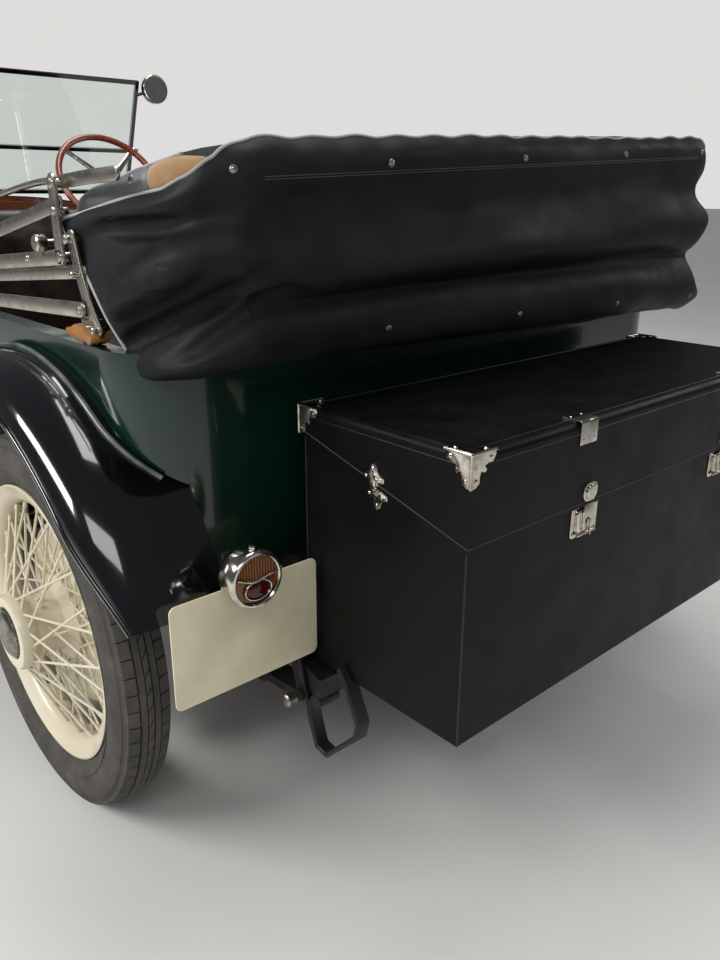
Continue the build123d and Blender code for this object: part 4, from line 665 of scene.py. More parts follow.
def model_lock_nut():
    """The nut on the hub with its domed cap, the valve, and the bolts that hold the bead."""
    cap = turned("cap", CAP_OUTLINE, (0, 0, 0), steps=40)
    nut = bar("nut", (0.076, 0, 0), (0.099, 0, 0), 0.0485, sides=8, bevel=0.002)
    valve = bar("valve", around(30, 0.238, 0.006), around(30, 0.205, 0.014), 0.0040, sides=12, bevel=0.001)
    bolt = bar("rim_bolt", around(90, 0.238, 0.0), around(90, 0.214, 0.0), 0.0050, sides=6, bevel=0.001)
    return join("nut_model", [cap, nut, valve, ring_of("rim_bolts", bolt, 3)])


def make_wheels():
    models = {
        "tyre": (model_tyre(), TYRE_RUBBER, "tyre_rubber"),
        "wire_wheel": (model_wheel(), WHEEL_ENAMEL, "cream_enamel"),
        "brake_drum": (model_drum(), WHEEL_ENAMEL, "cream_enamel"),
        "lock_nut": (model_lock_nut(), BRIGHT_IRON, "nickel"),
    }
    # Wheel places: name, body, tyre node, wheel node
    places = [
        ("rear_left", "road_wheel_rear_left", "tyre_rear_left", "wheel_rear_left"),
        ("rear_right", "road_wheel_rear_right", "tyre_rear_right", "wheel_rear_right"),
        ("front_left", "road_wheel_front_left", "tyre_front_left", "wheel_front_left"),
        ("front_right", "road_wheel_front_right", "tyre_front_right", "wheel_front_right"),
        ("spare", "root", "spare_tyre", "spare_wheel"),
    ]
    for place, body, tyre_node, wheel_node in places:
        low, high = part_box(tyre_node)
        centre = (low + high) / 2
        turn = 0.0 if centre.x > 0 else math.pi
        matrix = Matrix.Translation(centre) @ Matrix.Rotation(turn, 4, "Z")
        for kind, (model, finish, slot) in models.items():
            if place == "spare" and kind == "brake_drum":
                continue
            piece = copied(model, f"{kind}_{place}", matrix)
            dress(piece, body, slot, finish)
            if kind == "tyre":
                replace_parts(piece, tyre_node)
            elif kind == "wire_wheel":
                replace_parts(piece, wheel_node)
        if place == "spare":
            foot = Vector((-CARRIER_FOOT_X, centre.y, centre.z))
            carrier = bar("spare_carrier", foot, centre + Vector((0.03, 0, 0)), CARRIER_RADIUS, 24, 0.002)
            dress(carrier, "root", "chassis_black", CHASSIS_PAINT)
    for model, _, _ in models.values():
        bpy.data.objects.remove(model, do_unlink=True)


# Trunk: bound edges, nickel corner caps, edge clips, toggle latches and side clasps
TRUNK_HALF = 0.4845
TRUNK_LOW, TRUNK_HIGH = 0.411, 0.851
TRUNK_FRONT, TRUNK_REAR = 1.9725, 2.308
LID_OUT = 0.007
SEAM_FRONT, SEAM_REAR = 0.804, 0.7175
CAP_SIZE = 0.046
LATCH_X = 0.216
CLIP_X = 0.236
CLASP_Y = 2.138
# One face of a corner cap: three lobes round a square corner
CAP_FACE = [(0.0, 0.0), (1.0, 0.0), (1.02, 0.18), (0.90, 0.36), (0.70, 0.36), (0.56, 0.42), (0.62, 0.56),
            (0.56, 0.66), (0.42, 0.56), (0.36, 0.70), (0.36, 0.90), (0.18, 1.02), (0.0, 1.0)]
# Half of a side clasp: lobes above the seam
CLASP_EDGE = [(0.013, 0.008), (0.021, 0.010), (0.022, 0.017), (0.014, 0.020), (0.009, 0.024), (0.007, 0.032)]
CLASP_LEAF = [(-0.010, 0.003), (0.010, 0.003)] + CLASP_EDGE + [(0.0, 0.036)]
CLASP_LEAF += both_sides(CLASP_EDGE)[len(CLASP_EDGE):]


def seam_z(y):
    share = (y - TRUNK_FRONT) / (TRUNK_REAR - TRUNK_FRONT)
    return SEAM_FRONT + share * (SEAM_REAR - SEAM_FRONT)


def model_corner_cap():
    """A cap over the rear left top corner: three lobed faces with a soft ridge between them."""
    x, y, z = TRUNK_HALF + LID_OUT, TRUNK_REAR + LID_OUT, TRUNK_HIGH
    face = [(u * CAP_SIZE, v * CAP_SIZE) for u, v in CAP_FACE]
    lift = 0.0012
    pieces = [
        plate("cap_top", face, lift, plane_at((x + lift, y + lift, z), (-1, 0, 0), (0, -1, 0)), 0.0005),
        plate("cap_rear", face, lift, plane_at((x + lift, y, z + lift), (0, 0, -1), (-1, 0, 0)), 0.0005),
        plate("cap_side", face, lift, plane_at((x, y + lift, z + lift), (0, -1, 0), (0, 0, -1)), 0.0005),
        tube("ridge_a", [(x, y, z), (x - 0.020, y, z), (x - CAP_SIZE, y, z)], 0.0026, 3),
        tube("ridge_b", [(x, y, z), (x, y - 0.020, z), (x, y - CAP_SIZE, z)], 0.0026, 3),
        tube("ridge_c", [(x, y, z), (x, y, z - 0.020), (x, y, z - CAP_SIZE)], 0.0026, 3),
    ]
    for u, v in ((0.78, 0.18), (0.18, 0.78)):
        a, b = u * CAP_SIZE, v * CAP_SIZE
        pieces.append(dome("pin", (x - a, y - b, z + lift), 0.0030, 0.0016, (0, 0, 1)))
        pieces.append(dome("pin", (x - a, y + lift, z - b), 0.0030, 0.0016, (0, 1, 0)))
        pieces.append(dome("pin", (x + lift, y - a, z - b), 0.0030, 0.0016, (1, 0, 0)))
    return join("corner_cap", pieces)


def strap(name, path, width, thickness=0.0020):
    """A flat strip along a path in the YZ plane, its width along X, centred on x = 0."""
    piece = chain(name, [(0.0, y, z) for y, z in path])
    bpy.ops.object.mode_set(mode="EDIT")
    bpy.ops.mesh.select_all(action="SELECT")
    bpy.ops.transform.translate(value=(-width / 2, 0, 0))
    bpy.ops.mesh.extrude_region_move(TRANSFORM_OT_translate={"value": (width, 0, 0)})
    bpy.ops.object.mode_set(mode="OBJECT")
    modify(piece, "SOLIDIFY", thickness=thickness, offset=0.0)
    modify(piece, "BEVEL", width=thickness * 0.3, segments=1, limit_method="ANGLE")
    return smooth(piece)


def make_trunk_binding():
    """Piping round the lid, the pale lining at its lower edge, and cord down the upright corners."""
    x, front, rear = TRUNK_HALF, TRUNK_FRONT, TRUNK_REAR
    wide, out = 0.017, LID_OUT
    base, lid, seam = [], [], []
    for side in (-1, 1):
        for y in (front, rear):
            base.append([(side * x, y, TRUNK_LOW + 0.003), (side * x, y, seam_z(y) - 0.004)])
        edge_x = side * (x + out)
        lid.append([(edge_x, front - out, TRUNK_HIGH - wide), (edge_x, rear + out, TRUNK_HIGH - wide)])
        seam.append([(edge_x, front - out, seam_z(front) + 0.009),
                     (edge_x, rear + out, seam_z(rear) + 0.005)])
    for y in (front - out, rear + out):
        lid.append([(-x - out, y, TRUNK_HIGH - wide), (x + out, y, TRUNK_HIGH - wide)])
    for y in (front - out + wide, rear + out - wide):
        lid.append([(-x + 0.02, y, TRUNK_HIGH), (x - 0.02, y, TRUNK_HIGH)])
    for y, z in ((front - out, seam_z(front) + 0.009), (rear + out, seam_z(rear) + 0.005)):
        seam.append([(-x - out, y, z), (x + out, y, z)])
    # Runs: name, paths, radius, body, finish
    for name, paths, radius, body, finish in (
            ("trunk_base_cord", base, 0.0013, "root", TRUNK_BINDING),
            ("trunk_lid_piping", lid, 0.0011, "trunk_lid", TRUNK_BINDING),
            ("trunk_lid_lining_edge", seam, 0.0009, "trunk_lid", SEAM_LINING)):
        runs = [tube("run", points, radius, 2, smooth_path=False) for points in paths]
        dress(join(name, runs), body, "trunk_cloth", finish)


def model_latch():
    """A toggle latch: back plate with a raised pan, key, sprung hasp and its round eye above the seam."""
    y = TRUNK_REAR
    z = SEAM_REAR - 0.026
    flat = plane_at((0, y + 0.0002, z), (-1, 0, 0), (0, 0, 1))
    lower = [
        plate("back", rounded(0.068, 0.052, 0.006), 0.0016, flat, 0.0004),
        plate("pan", rounded(0.046, 0.040, 0.008), 0.0060, flat, 0.0018),
        plate("tongue", [(-0.014, -0.014), (0.014, -0.014), (0.016, 0.016), (0.008, 0.028), (-0.008, 0.028),
                         (-0.016, 0.016)], 0.0100, flat, 0.0016),
        turned("key_eye", [(0.0098, 0.0), (0.0098, 0.0085), (0.0125, 0.0080), (0.0130, 0.0045),
                           (0.0115, 0.0)], (0, y, z - 0.003), steps=24, axis=(0, 1, 0)),
        block("key", (-0.0012, y + 0.011, z - 0.022), (0.0012, y + 0.0145, z + 0.004), 0.0005),
        bar("hinge", (-0.024, y + 0.006, z - 0.021), (0.024, y + 0.006, z - 0.021), 0.0030, 12, 0.0006),
    ]
    for u in (-0.029, 0.029):
        for v in (-0.020, 0.020):
            lower.append(dome("rivet", (u, y + 0.0016, z + v), 0.0028, 0.0016, (0, 1, 0)))
    lid_y = TRUNK_REAR + LID_OUT
    eye_z = SEAM_REAR + 0.020
    flat = plane_at((0, lid_y + 0.0002, eye_z), (-1, 0, 0), (0, 0, 1))
    upper = [
        plate("eye_plate", rounded(0.036, 0.030, 0.013), 0.0016, flat, 0.0004),
        plate("eye", rounded(0.026, 0.022, 0.010), 0.0050, flat, 0.0014),
    ]
    for u in (-0.013, 0.013):
        upper.append(dome("rivet", (u, lid_y + 0.0016, eye_z + 0.008), 0.0024, 0.0014, (0, 1, 0)))
    return join("latch", lower), join("latch_eye", upper)


def model_side_clasp():
    """A side clasp: a lobed leaf each side of the seam, with a turning hook between them."""
    z = seam_z(CLASP_Y)
    halves = []
    # Below and above the seam: way, how far out it lies, outline of the leaf
    for way, x, outline in ((-1, TRUNK_HALF, [(u, -v) for u, v in reversed(CLASP_LEAF)]),
                            (1, TRUNK_HALF + LID_OUT, CLASP_LEAF)):
        flat = plane_at((x + 0.0002, CLASP_Y, z), (0, 1, 0), (0, 0, 1))
        pieces = [plate("leaf", outline, 0.0020, flat, 0.0005)]
        if way < 0:
            start, end = (x + 0.004, CLASP_Y - 0.008, z - 0.006), (x + 0.004, CLASP_Y + 0.008, z - 0.006)
            pieces.append(bar("barrel", start, end, 0.0038, 12, 0.0008))
        else:
            hook = [(-0.006, -0.002), (0.006, -0.002), (0.008, 0.012), (0.0, 0.020), (-0.008, 0.012)]
            pieces.append(plate("hook", hook, 0.0055, flat, 0.0014))
        for u, v in ((-0.016, 0.014), (0.016, 0.014), (0.0, 0.029)):
            pieces.append(dome("rivet", (x + 0.0022, CLASP_Y + u, z + way * v), 0.0022, 0.0014, (1, 0, 0)))
        halves.append(pieces)
    lower, upper = halves
    return join("clasp_leaf", lower), join("clasp_hook", upper)


def make_trunk_fittings():
    make_trunk_binding()
    cap = model_corner_cap()
    across = Matrix.Scale(-1, 4, (1, 0, 0))
    middle = (TRUNK_FRONT + TRUNK_REAR) / 2
    to_front = Matrix.Translation((0, 2 * middle, 0)) @ Matrix.Scale(-1, 4, (0, 1, 0))
    copies = [cap, copied(cap, "cap_b", across), copied(cap, "cap_c", to_front),
              copied(cap, "cap_d", across @ to_front)]
    clips = []
    for x in (-CLIP_X, CLIP_X):
        rear, top = TRUNK_REAR + LID_OUT + 0.0012, TRUNK_HIGH + 0.0012
        clip = strap("clip", [(rear - 0.034, top), (rear - 0.004, top), (rear - 0.001, top - 0.001),
                              (rear, top - 0.004), (rear, top - 0.036)], 0.042)
        clip.data.transform(Matrix.Translation((x, 0, 0)))
        clips.append(clip)
        for u in (-0.013, 0.013):
            clips.append(dome("rivet", (x + u, rear - 0.024, top + 0.0008), 0.0026, 0.0014, (0, 0, 1)))
            clips.append(dome("rivet", (x + u, rear + 0.0008, top - 0.028), 0.0026, 0.0014, (0, 1, 0)))
    latch, eye = model_latch()
    lower, hook = model_side_clasp()
    left, right = Matrix.Translation((LATCH_X, 0, 0)), Matrix.Translation((-LATCH_X, 0, 0))
    on_lid = copies + clips + [copied(eye, "eye_l", left), copied(eye, "eye_r", right), hook,
                               mirrored(hook, "hook_r")]
    on_base = [copied(latch, "latch_l", left), copied(latch, "latch_r", right), lower,
               mirrored(lower, "lower_r")]
    for piece in (latch, eye):
        bpy.data.objects.remove(piece, do_unlink=True)
    dress(join("trunk_lid_hardware", on_lid), "trunk_lid", "nickel", NICKEL)
    dress(join("trunk_base_hardware", on_base), "root", "nickel", NICKEL)


# Rear lamp on its bracket, and the blank plate
LAMP_AT = (0.650, 2.015, 0.640)
LAMP_RADIUS = 0.045
PLATE_AT = (0.6245, 2.000, 0.519)
PLATE_SIZE = (0.265, 0.172)
LAMP_BODY = [(0.0, 0.0), (0.0, 0.022), (0.004, 0.033), (0.013, 0.0405), (0.024, 0.0430), (0.036, 0.0432),
             (0.038, 0.0450), (0.047, 0.0450), (0.052, 0.0440), (0.0545, 0.0415), (0.0550, 0.0385),
             (0.0530, 0.0365), (0.0480, 0.0360), (0.0480, 0.0)]


def make_rear_lamp():
    x, y, z = LAMP_AT
    face = y + 0.0482
    body = turned("lamp_body", LAMP_BODY, LAMP_AT, steps=64, axis=(0, 1, 0))
    stud = turned("lamp_stud", [(-0.002, 0.0), (-0.002, 0.0055), (0.004, 0.0055), (0.006, 0.0035),
                                (0.006, 0.0)], (x, y + 0.043, z + LAMP_RADIUS), steps=16, axis=(0, 0, 1))
    # The curved divider between the two lenses, and the ring round the lower one
    arc = [(x + u, face + 0.0045, z + v) for u, v in ((-0.0355, 0.004), (-0.022, 0.0035), (-0.008, -0.001),
                                                      (0.006, -0.002), (0.020, 0.003), (0.034, 0.009))]
    divider = tube("divider", arc, 0.0021, 3)
    ring = [(x - 0.002 + 0.0225 * math.cos(a), face + 0.0040, z - 0.0155 + 0.0150 * math.sin(a))
            for a in (2 * math.pi * i / 24 for i in range(24))]
    ring = tube("lens_ring", ring, 0.0018, 3, closed=True)
    bracket = [
        block("arm", (0.505, 1.930, 0.494), (x + 0.012, 1.938, 0.517), 0.0015),
        block("arm_b", (x - 0.012, 1.930, 0.494), (x + 0.012, 1.9995, 0.517), 0.0015),
        block("arm_c", (x - 0.012, 1.9935, 0.494), (x + 0.012, 1.9995, z + 0.020), 0.0015),
        bar("neck", (x, 1.996, z), (x, y + 0.002, z), 0.014, 20, 0.001),
        block("plate_bar", (PLATE_AT[0] - 0.10, 1.9945, 0.494), (PLATE_AT[0] + 0.10, 1.9995, 0.517), 0.0012),
    ]
    for u in (-0.05, 0.06):
        bolt_x = PLATE_AT[0] + u
        bracket.append(bar("plate_bolt", (bolt_x, 1.985, 0.506), (bolt_x, 1.9995, 0.506), 0.006, 6, 0.001))
    dress(join("rear_lamp_shell", [body, stud, divider, ring]), "root", "nickel", NICKEL)
    bracket = dress(join("rear_lamp_bracket", bracket), "root", "chassis_black", CHASSIS_PAINT)
    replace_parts(bracket, "rear_lamp")
    # Upper lens: amber glass, pressed with upright flutes
    half = 0.0358
    flutes = []
    for i in range(15):
        u = -0.033 + 0.066 * i / 14
        top = math.sqrt(half ** 2 - u ** 2) * 0.985
        low = -0.0005 + 0.10 * max(0.0, u) + 0.02 * max(0.0, -u)
        if top - low > 0.004:
            flutes.append(bar("flute", (x + u, face + 0.0016, z + low), (x + u, face + 0.0016, z + top),
                              0.0019, 10))
    backing = turned("amber_disc", [(0.0, 0.0), (0.0, half), (0.0012, half), (0.0012, 0.0)], (x, face, z),
                     steps=48, axis=(0, 1, 0))
    dress(join("rear_lamp_amber_lens", flutes + [backing]), "root", "pane", AMBER_GLASS)
    ruby = primitive("uv_sphere", "rear_lamp_ruby_lens", segments=40, ring_count=20, radius=1.0,
                     location=(x - 0.002, face + 0.0012, z - 0.0155))
    ruby.scale = (0.0215, 0.0060, 0.0142)
    settle(ruby)
    dress(smooth(ruby, 60), "root", "pane", RUBY_GLASS)
    blank = plate("plate_blank", rounded(PLATE_SIZE[0], PLATE_SIZE[1], 0.011), 0.0028,
                  plane_at(PLATE_AT, (-1, 0, 0), (0, 0, 1)), 0.0006)
    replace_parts(dress(blank, "root", "plate_cream", PLATE_ENAMEL), "number_plate")
    make_spring_ends()


SPRING_X = 0.482


def make_spring_ends():
    """Rear shackles: side links on bolts, grease cups, and the flat iron loop under the trunk's arm."""
    links, cups = [], []
    x = SPRING_X
    upper, lower = Vector((x, 1.965, 0.428)), Vector((x, 1.985, 0.350))
    for off in (-0.029, 0.029):
        link = plate("link", rounded(0.026, (upper - lower).length + 0.032, 0.0125), 0.006,
                     plane_at((x + off - 0.003, (upper.y + lower.y) / 2, (upper.z + lower.z) / 2),
                              (0, (upper - lower).z, -(upper - lower).y),
                              (0, (upper - lower).y, (upper - lower).z)), 0.0015)
        links.append(link)
    for pin in (upper, lower):
        links.append(bar("bolt", pin + Vector((-0.038, 0, 0)), pin + Vector((0.040, 0, 0)), 0.008, 16,
                         0.001))
        links.append(bar("nut", pin + Vector((0.033, 0, 0)), pin + Vector((0.042, 0, 0)), 0.012, 6, 0.0015))
        cup = turned("cup", [(0.0, 0.0), (0.0, 0.006), (0.006, 0.007), (0.008, 0.0115), (0.024, 0.0120),
                             (0.027, 0.0095), (0.028, 0.0)], pin + Vector((0.040, 0, 0)), steps=20)
        cups.append(cup)
    loop = [(2.062, 0.430), (2.083, 0.400), (2.110, 0.345), (2.104, 0.316), (2.030, 0.240), (2.004, 0.244),
            (1.984, 0.300), (1.980, 0.352), (1.950, 0.395)]
    iron = strap("rack_loop", loop, 0.028, 0.010)
    iron.data.transform(Matrix.Translation((x + 0.004, 0, 0)))
    links.append(iron)
    links = join("rear_shackle_left", links)
    cups = join("grease_cups_left", cups)
    dress(mirrored(links, "rear_shackle_right"), "root", "chassis_black", CHASSIS_PAINT)
    dress(mirrored(cups, "grease_cups_right"), "root", "nickel", DULL_NICKEL)
    dress(links, "root", "chassis_black", CHASSIS_PAINT)
    dress(cups, "root", "nickel", DULL_NICKEL)


# Folded soft top. Y below is measured from the rear axle, as the folds were set out from the body's tail.
HOOD_BODY = "root"
HOOD_CLOTH_THICKNESS = 0.0020
HOOD_WELT_RADIUS = 0.0026
HOOD_ROLL_RADIUS = 0.0275
STITCH_RADIUS = 0.0007
# Fold lines of the rear cover, from the hem up: y and z at the middle
COVER_LINES = [
    (0.440, 0.930), (0.458, 0.906), (0.492, 0.909), (0.510, 0.932), (0.514, 0.966), (0.504, 0.996),
    (0.476, 1.012), (0.492, 1.024), (0.517, 1.042), (0.518, 1.074), (0.503, 1.106), (0.489, 1.138),
    (0.489, 1.168), (0.499, 1.194), (0.503, 1.218), (0.496, 1.241), (0.470, 1.254),
]
# How the hem and the top edge slope across the car, and how far the cloth reaches past the right corner
HEM_SLOPE, TOP_SLOPE = 0.022, -0.048
RIGHT_REACH = 1.125
SLOPE_END = 0.58
# Lines whose way round the left corner is set out in full; those between are spaced between them
CORNER_LINES = {
    1: [(0.620, 0.448, 0.903), (0.655, 0.432, 0.899), (0.675, 0.408, 0.896), (0.682, 0.388, 0.895),
        (0.684, 0.370, 0.895), (0.684, 0.352, 0.896)],
    3: [(0.625, 0.505, 0.938), (0.668, 0.480, 0.931), (0.690, 0.440, 0.922), (0.696, 0.402, 0.914),
        (0.694, 0.366, 0.909), (0.688, 0.334, 0.907)],
    6: [(0.596, 0.466, 1.020), (0.632, 0.440, 1.002), (0.655, 0.402, 0.980), (0.666, 0.360, 0.962),
        (0.674, 0.326, 0.946), (0.684, 0.306, 0.928)],
    9: [(0.625, 0.510, 1.083), (0.664, 0.476, 1.076), (0.690, 0.428, 1.061), (0.700, 0.368, 1.038),
        (0.703, 0.308, 1.012), (0.697, 0.262, 0.992)],
    11: [(0.604, 0.466, 1.124), (0.640, 0.446, 1.116), (0.660, 0.408, 1.110), (0.668, 0.345, 1.104),
         (0.678, 0.252, 1.100), (0.694, 0.176, 1.072)],
    16: [(0.622, 0.474, 1.203), (0.645, 0.448, 1.181), (0.660, 0.400, 1.162), (0.665, 0.300, 1.149),
         (0.682, 0.205, 1.127), (0.701, 0.150, 1.116)],
}
CORNER_BULGE = {2: 0.004, 4: 0.006, 5: 0.002, 7: 0.004, 8: 0.010, 10: 0.004, 12: 0.004, 13: 0.014, 14: 0.018,
                15: 0.010}
STRAIGHT_X = (0.0, 0.09, 0.18, 0.27, 0.36, 0.45, 0.53, 0.58)
# The top edge sags between its tacks: how far, and how far apart they are
SCALLOP = 0.0065
SCALLOP_PITCH = 0.082
SCALLOP_BAND = 0.030
# Folds pulled into the left corner, read off the photo: widths above and below the line, then x, y, z and
# how far the cloth stands out there (in, where it is negative)
CORNER_FOLDS = [
    (0.026, 0.018, [(0.690, 0.235, 1.107, 0.0), (0.682, 0.270, 1.105, -0.009), (0.674, 0.310, 1.103, -0.014),
                    (0.663, 0.396, 1.107, -0.012), (0.643, 0.447, 1.109, 0.0)]),
    (0.060, 0.030, [(0.704, 0.275, 0.986, 0.0), (0.703, 0.310, 0.998, 0.010), (0.694, 0.384, 1.025, 0.019),
                    (0.674, 0.440, 1.050, 0.019), (0.662, 0.464, 1.070, 0.013), (0.644, 0.484, 1.096, 0.0)]),
    (0.022, 0.024, [(0.686, 0.318, 0.945, -0.012), (0.653, 0.417, 0.989, -0.014),
                    (0.611, 0.467, 1.021, -0.014), (0.585, 0.500, 1.047, -0.011),
                    (0.544, 0.508, 1.061, 0.0)]),
    (0.018, 0.024, [(0.691, 0.419, 0.921, 0.0), (0.662, 0.460, 0.951, -0.009), (0.610, 0.482, 0.987, -0.012),
                    (0.563, 0.495, 1.017, -0.012), (0.525, 0.505, 1.026, -0.010),
                    (0.457, 0.488, 1.011, 0.0)]),
]
# Side view of the folded deck cloth inside the cover: y and z from the rear top edge down to the body
DECK_PROFILE = [
    (0.470, 1.246), (0.440, 1.258), (0.350, 1.261), (0.240, 1.256), (0.155, 1.242), (0.126, 1.223),
    (0.150, 1.205), (0.260, 1.199), (0.380, 1.194), (0.396, 1.180), (0.360, 1.169), (0.240, 1.164),
    (0.132, 1.154), (0.116, 1.136), (0.150, 1.122), (0.270, 1.114), (0.400, 1.100), (0.412, 1.084),
    (0.300, 1.066), (0.172, 1.044), (0.160, 1.024), (0.220, 0.998), (0.320, 0.966), (0.372, 0.944),
]
DECK_LOW, DECK_HIGH = 0.944, 1.261
DECK_HALF = 0.635
DECK_SHY = 0.008
# Studs: x of the upper and the lower row
STUDS_X = {1.214: (0.600, 0.330, 0.000, -0.330, -0.640), 0.945: (0.330, 0.000, -0.330, -0.640)}


def cloth_noise(point, size, seed=0.0):
    """Smooth unevenness of hand-folded cloth, between -1 and 1."""
    return noise_field.noise(Vector((point[0] / size + seed, point[1] / size, point[2] / size)))


def corner_path(line):
    """The six places of a fold line round the left corner."""
    keys = sorted(CORNER_LINES)
    if line in CORNER_LINES:
        return [Vector(p) for p in CORNER_LINES[line]]
    if line == 0:
        return [Vector(p) + Vector((-0.008, -0.014, 0.020)) for p in CORNER_LINES[1]]
    below = max(k for k in keys if k < line)
    above = min(k for k in keys if k > line)
    share = (line - below) / (above - below)
    out = CORNER_BULGE.get(line, 0.0)
    made = []
    for i, (a, b) in enumerate(zip(CORNER_LINES[below], CORNER_LINES[above])):
        point = Vector(a).lerp(Vector(b), share)
        fade = (0.6, 0.9, 1.0, 1.0, 0.8, 0.15)[i]
        made.append(point + Vector((out * fade * (0.5 if i < 2 else 1.0),
                                    out * fade * (0.8 if i < 2 else 0.0), 0)))
    return made


def cover_row(line, side):
    """A fold line from the middle to the trailing edge on one side."""
    y, z = COVER_LINES[line]
    slope = HEM_SLOPE + (TOP_SLOPE - HEM_SLOPE) * line / (len(COVER_LINES) - 1)
    row = []
    for x in STRAIGHT_X:
        along = x * side
        wave_y = 0.005 * math.sin(5.1 * along + line * 0.9) + 0.003 * math.sin(11.0 * along + line * 2.1)
        wave_z = 0.005 * math.sin(3.7 * along + line * 0.35) * (1.0 if 4 < line < 12 else 0.4)
        row.append(Vector((x, y + wave_y, z + wave_z + side * x * slope)))
    lift = (1 - side) * SLOPE_END * -slope
    row += [p + Vector((0, 0, lift)) for p in corner_path(line)]
    # The right side is folded a little less tidily than the left
    if side < 0:
        row = [p + Vector((0, 0.004 * math.sin(9 * p.x + line), 0.004 * math.sin(7 * p.x + line * 1.7)))
               for p in row]
    reach = 1.0 if side > 0 else RIGHT_REACH
    return [Vector((side * reach * p.x, p.y, p.z)) for p in row]


def grid_piece(name, rows):
    """A sheet through rows of points."""
    across, up = len(rows[0]), len(rows)
    piece = primitive("grid", name, x_subdivisions=across - 1, y_subdivisions=up - 1, size=1.0)
    for index, vertex in enumerate(piece.data.vertices):
        vertex.co = rows[index // across][index % across]
    piece.data.update()
    return piece


def rumple(piece, amounts, seed=0.0):
    """Move a sheet's points along its normals by smooth noise of several sizes."""
    normals = [v.normal.copy() for v in piece.data.vertices]
    for vertex, normal in zip(piece.data.vertices, normals):
        shift = sum(depth * cloth_noise(vertex.co, size, seed) for size, depth in amounts)
        vertex.co += normal * shift
    piece.data.update()


def press_folds(piece, folds):
    """Pull sharp folds into a sheet along the given lines."""
    for vertex in piece.data.vertices:
        place = vertex.co - Vector((0, REAR_AXLE_Y, 0))
        if place.x < 0.40:
            continue
        push = 0.0
        for above, below, line in folds:
            nearest, amount, over = 1.0, 0.0, 0.0
            for start, end in zip(line, line[1:]):
                a, b = Vector(start[:3]), Vector(end[:3])
                share = max(0.0, min(1.0, (place - a).dot(b - a) / (b - a).length_squared))
                gap = place - a.lerp(b, share)
                if gap.length < nearest:
                    nearest, over = gap.length, gap.z
                    amount = start[3] + (end[3] - start[3]) * share
            width = above if over > 0 else below
            if nearest < width:
                push += amount * (0.5 + 0.5 * math.cos(math.pi * nearest / width))
        vertex.co += vertex.normal * push
    piece.data.update()


def sag_edge(piece, edge):
    """Let a sheet's top edge sag between its tacks."""
    for vertex in piece.data.vertices:
        x = vertex.co.x
        over = next((a.z + (b.z - a.z) * (x - a.x) / (b.x - a.x) for a, b in zip(edge, edge[1:])
                     if a.x <= x < b.x), None)
        if over is None:
            continue
        share = max(0.0, 1.0 - max(0.0, over - vertex.co.z) / SCALLOP_BAND)
        vertex.co.z -= SCALLOP * share * (1.0 - abs(math.sin(math.pi * x / SCALLOP_PITCH)))
    piece.data.update()


def to_frame(points):
    return [Vector((p[0], p[1] + REAR_AXLE_Y, p[2])) for p in points]


def make_cover():
    rows = []
    for line in range(len(COVER_LINES)):
        right, left = cover_row(line, -1), cover_row(line, 1)
        rows.append(to_frame(list(reversed(right[1:])) + left))
    piece = grid_piece("hood_rear_cover", rows)
    modify(piece, "SUBSURF", levels=2, render_levels=2)
    rumple(piece, ((0.20, 0.0036), (0.07, 0.0028), (0.03, 0.0009)))
    modify(piece, "SUBSURF", levels=1, render_levels=1)
    sag_edge(piece, [p for p in rows[-1] if abs(p.x) < 0.66])
    face_outward(piece)
    face_towards(piece, Vector((0, 1, 0)))
    press_folds(piece, CORNER_FOLDS)
    modify(piece, "SMOOTH", factor=0.5, iterations=5)
    modify(piece, "SOLIDIFY", thickness=HOOD_CLOTH_THICKNESS, offset=-1.0)
    smooth(piece, 80)
    dress(piece, HOOD_BODY, "hood_cloth", HOOD_CLOTH)
    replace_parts(piece, "folded_hood")
    return piece, rows


def edge_path(piece, pick):
    """Points of a cover's edge, put onto the finished cloth."""
    made = []
    for start, end in zip(pick, pick[1:]):
        for step in range(6):
            point = start.lerp(end, step / 6)
            hit, place, _, _ = piece.closest_point_on_mesh(point)
            made.append(place if hit else point)
    return made


def make_piping(cover, rows):
    """Grey welt along the trailing edges and the top edge, as one run."""
    trailing_left = [row[-1] for row in rows[1:]]
    top = list(reversed(rows[-1]))
    trailing_right = [row[0] for row in reversed(rows[1:])]
    path = edge_path(cover, trailing_left + top[1:] + trailing_right[1:])
    welt = tube("hood_piping", path, HOOD_WELT_RADIUS, 3)
    dress(welt, HOOD_BODY, "hood_cloth", PIPING_CLOTH)
    # Twin needle line of the stitched band under the top edge
    lines = []
    for z in (1.2030, 1.1995):
        path = []
        for i in range(60):
            x = -0.62 + 0.02 * i
            start = Vector((x, REAR_AXLE_Y + 0.9, z + TOP_SLOPE * x))
            hit, place, normal, _ = cover.ray_cast(start, Vector((0, -1, 0)))
            if hit:
                path.append(place + normal * 0.0002)
        lines.append(tube("stitch_line", path, STITCH_RADIUS, 1))
    dress(join("hood_stitching", lines), HOOD_BODY, "hood_cloth", THREAD)


def make_studs(cover):
    studs = []
    for z, places in STUDS_X.items():
        for x in places:
            level = z + x * (TOP_SLOPE if z > 1.1 else HEM_SLOPE)
            start = Vector((x, REAR_AXLE_Y + 0.9, level))
            hit, place, normal, _ = cover.ray_cast(start, Vector((0, -1, 0)))
            if hit:
                studs.append(dome("stud", place - normal * 0.0003, 0.0048, 0.0030, normal, 20))
                studs.append(turned("washer", [(0.0, 0.0), (0.0, 0.0062), (0.0008, 0.0058), (0.0009, 0.0)],
                                    place - normal * 0.0003, steps=20, axis=normal))
    dress(join("hood_studs", studs), HOOD_BODY, "nickel", DULL_NICKEL)


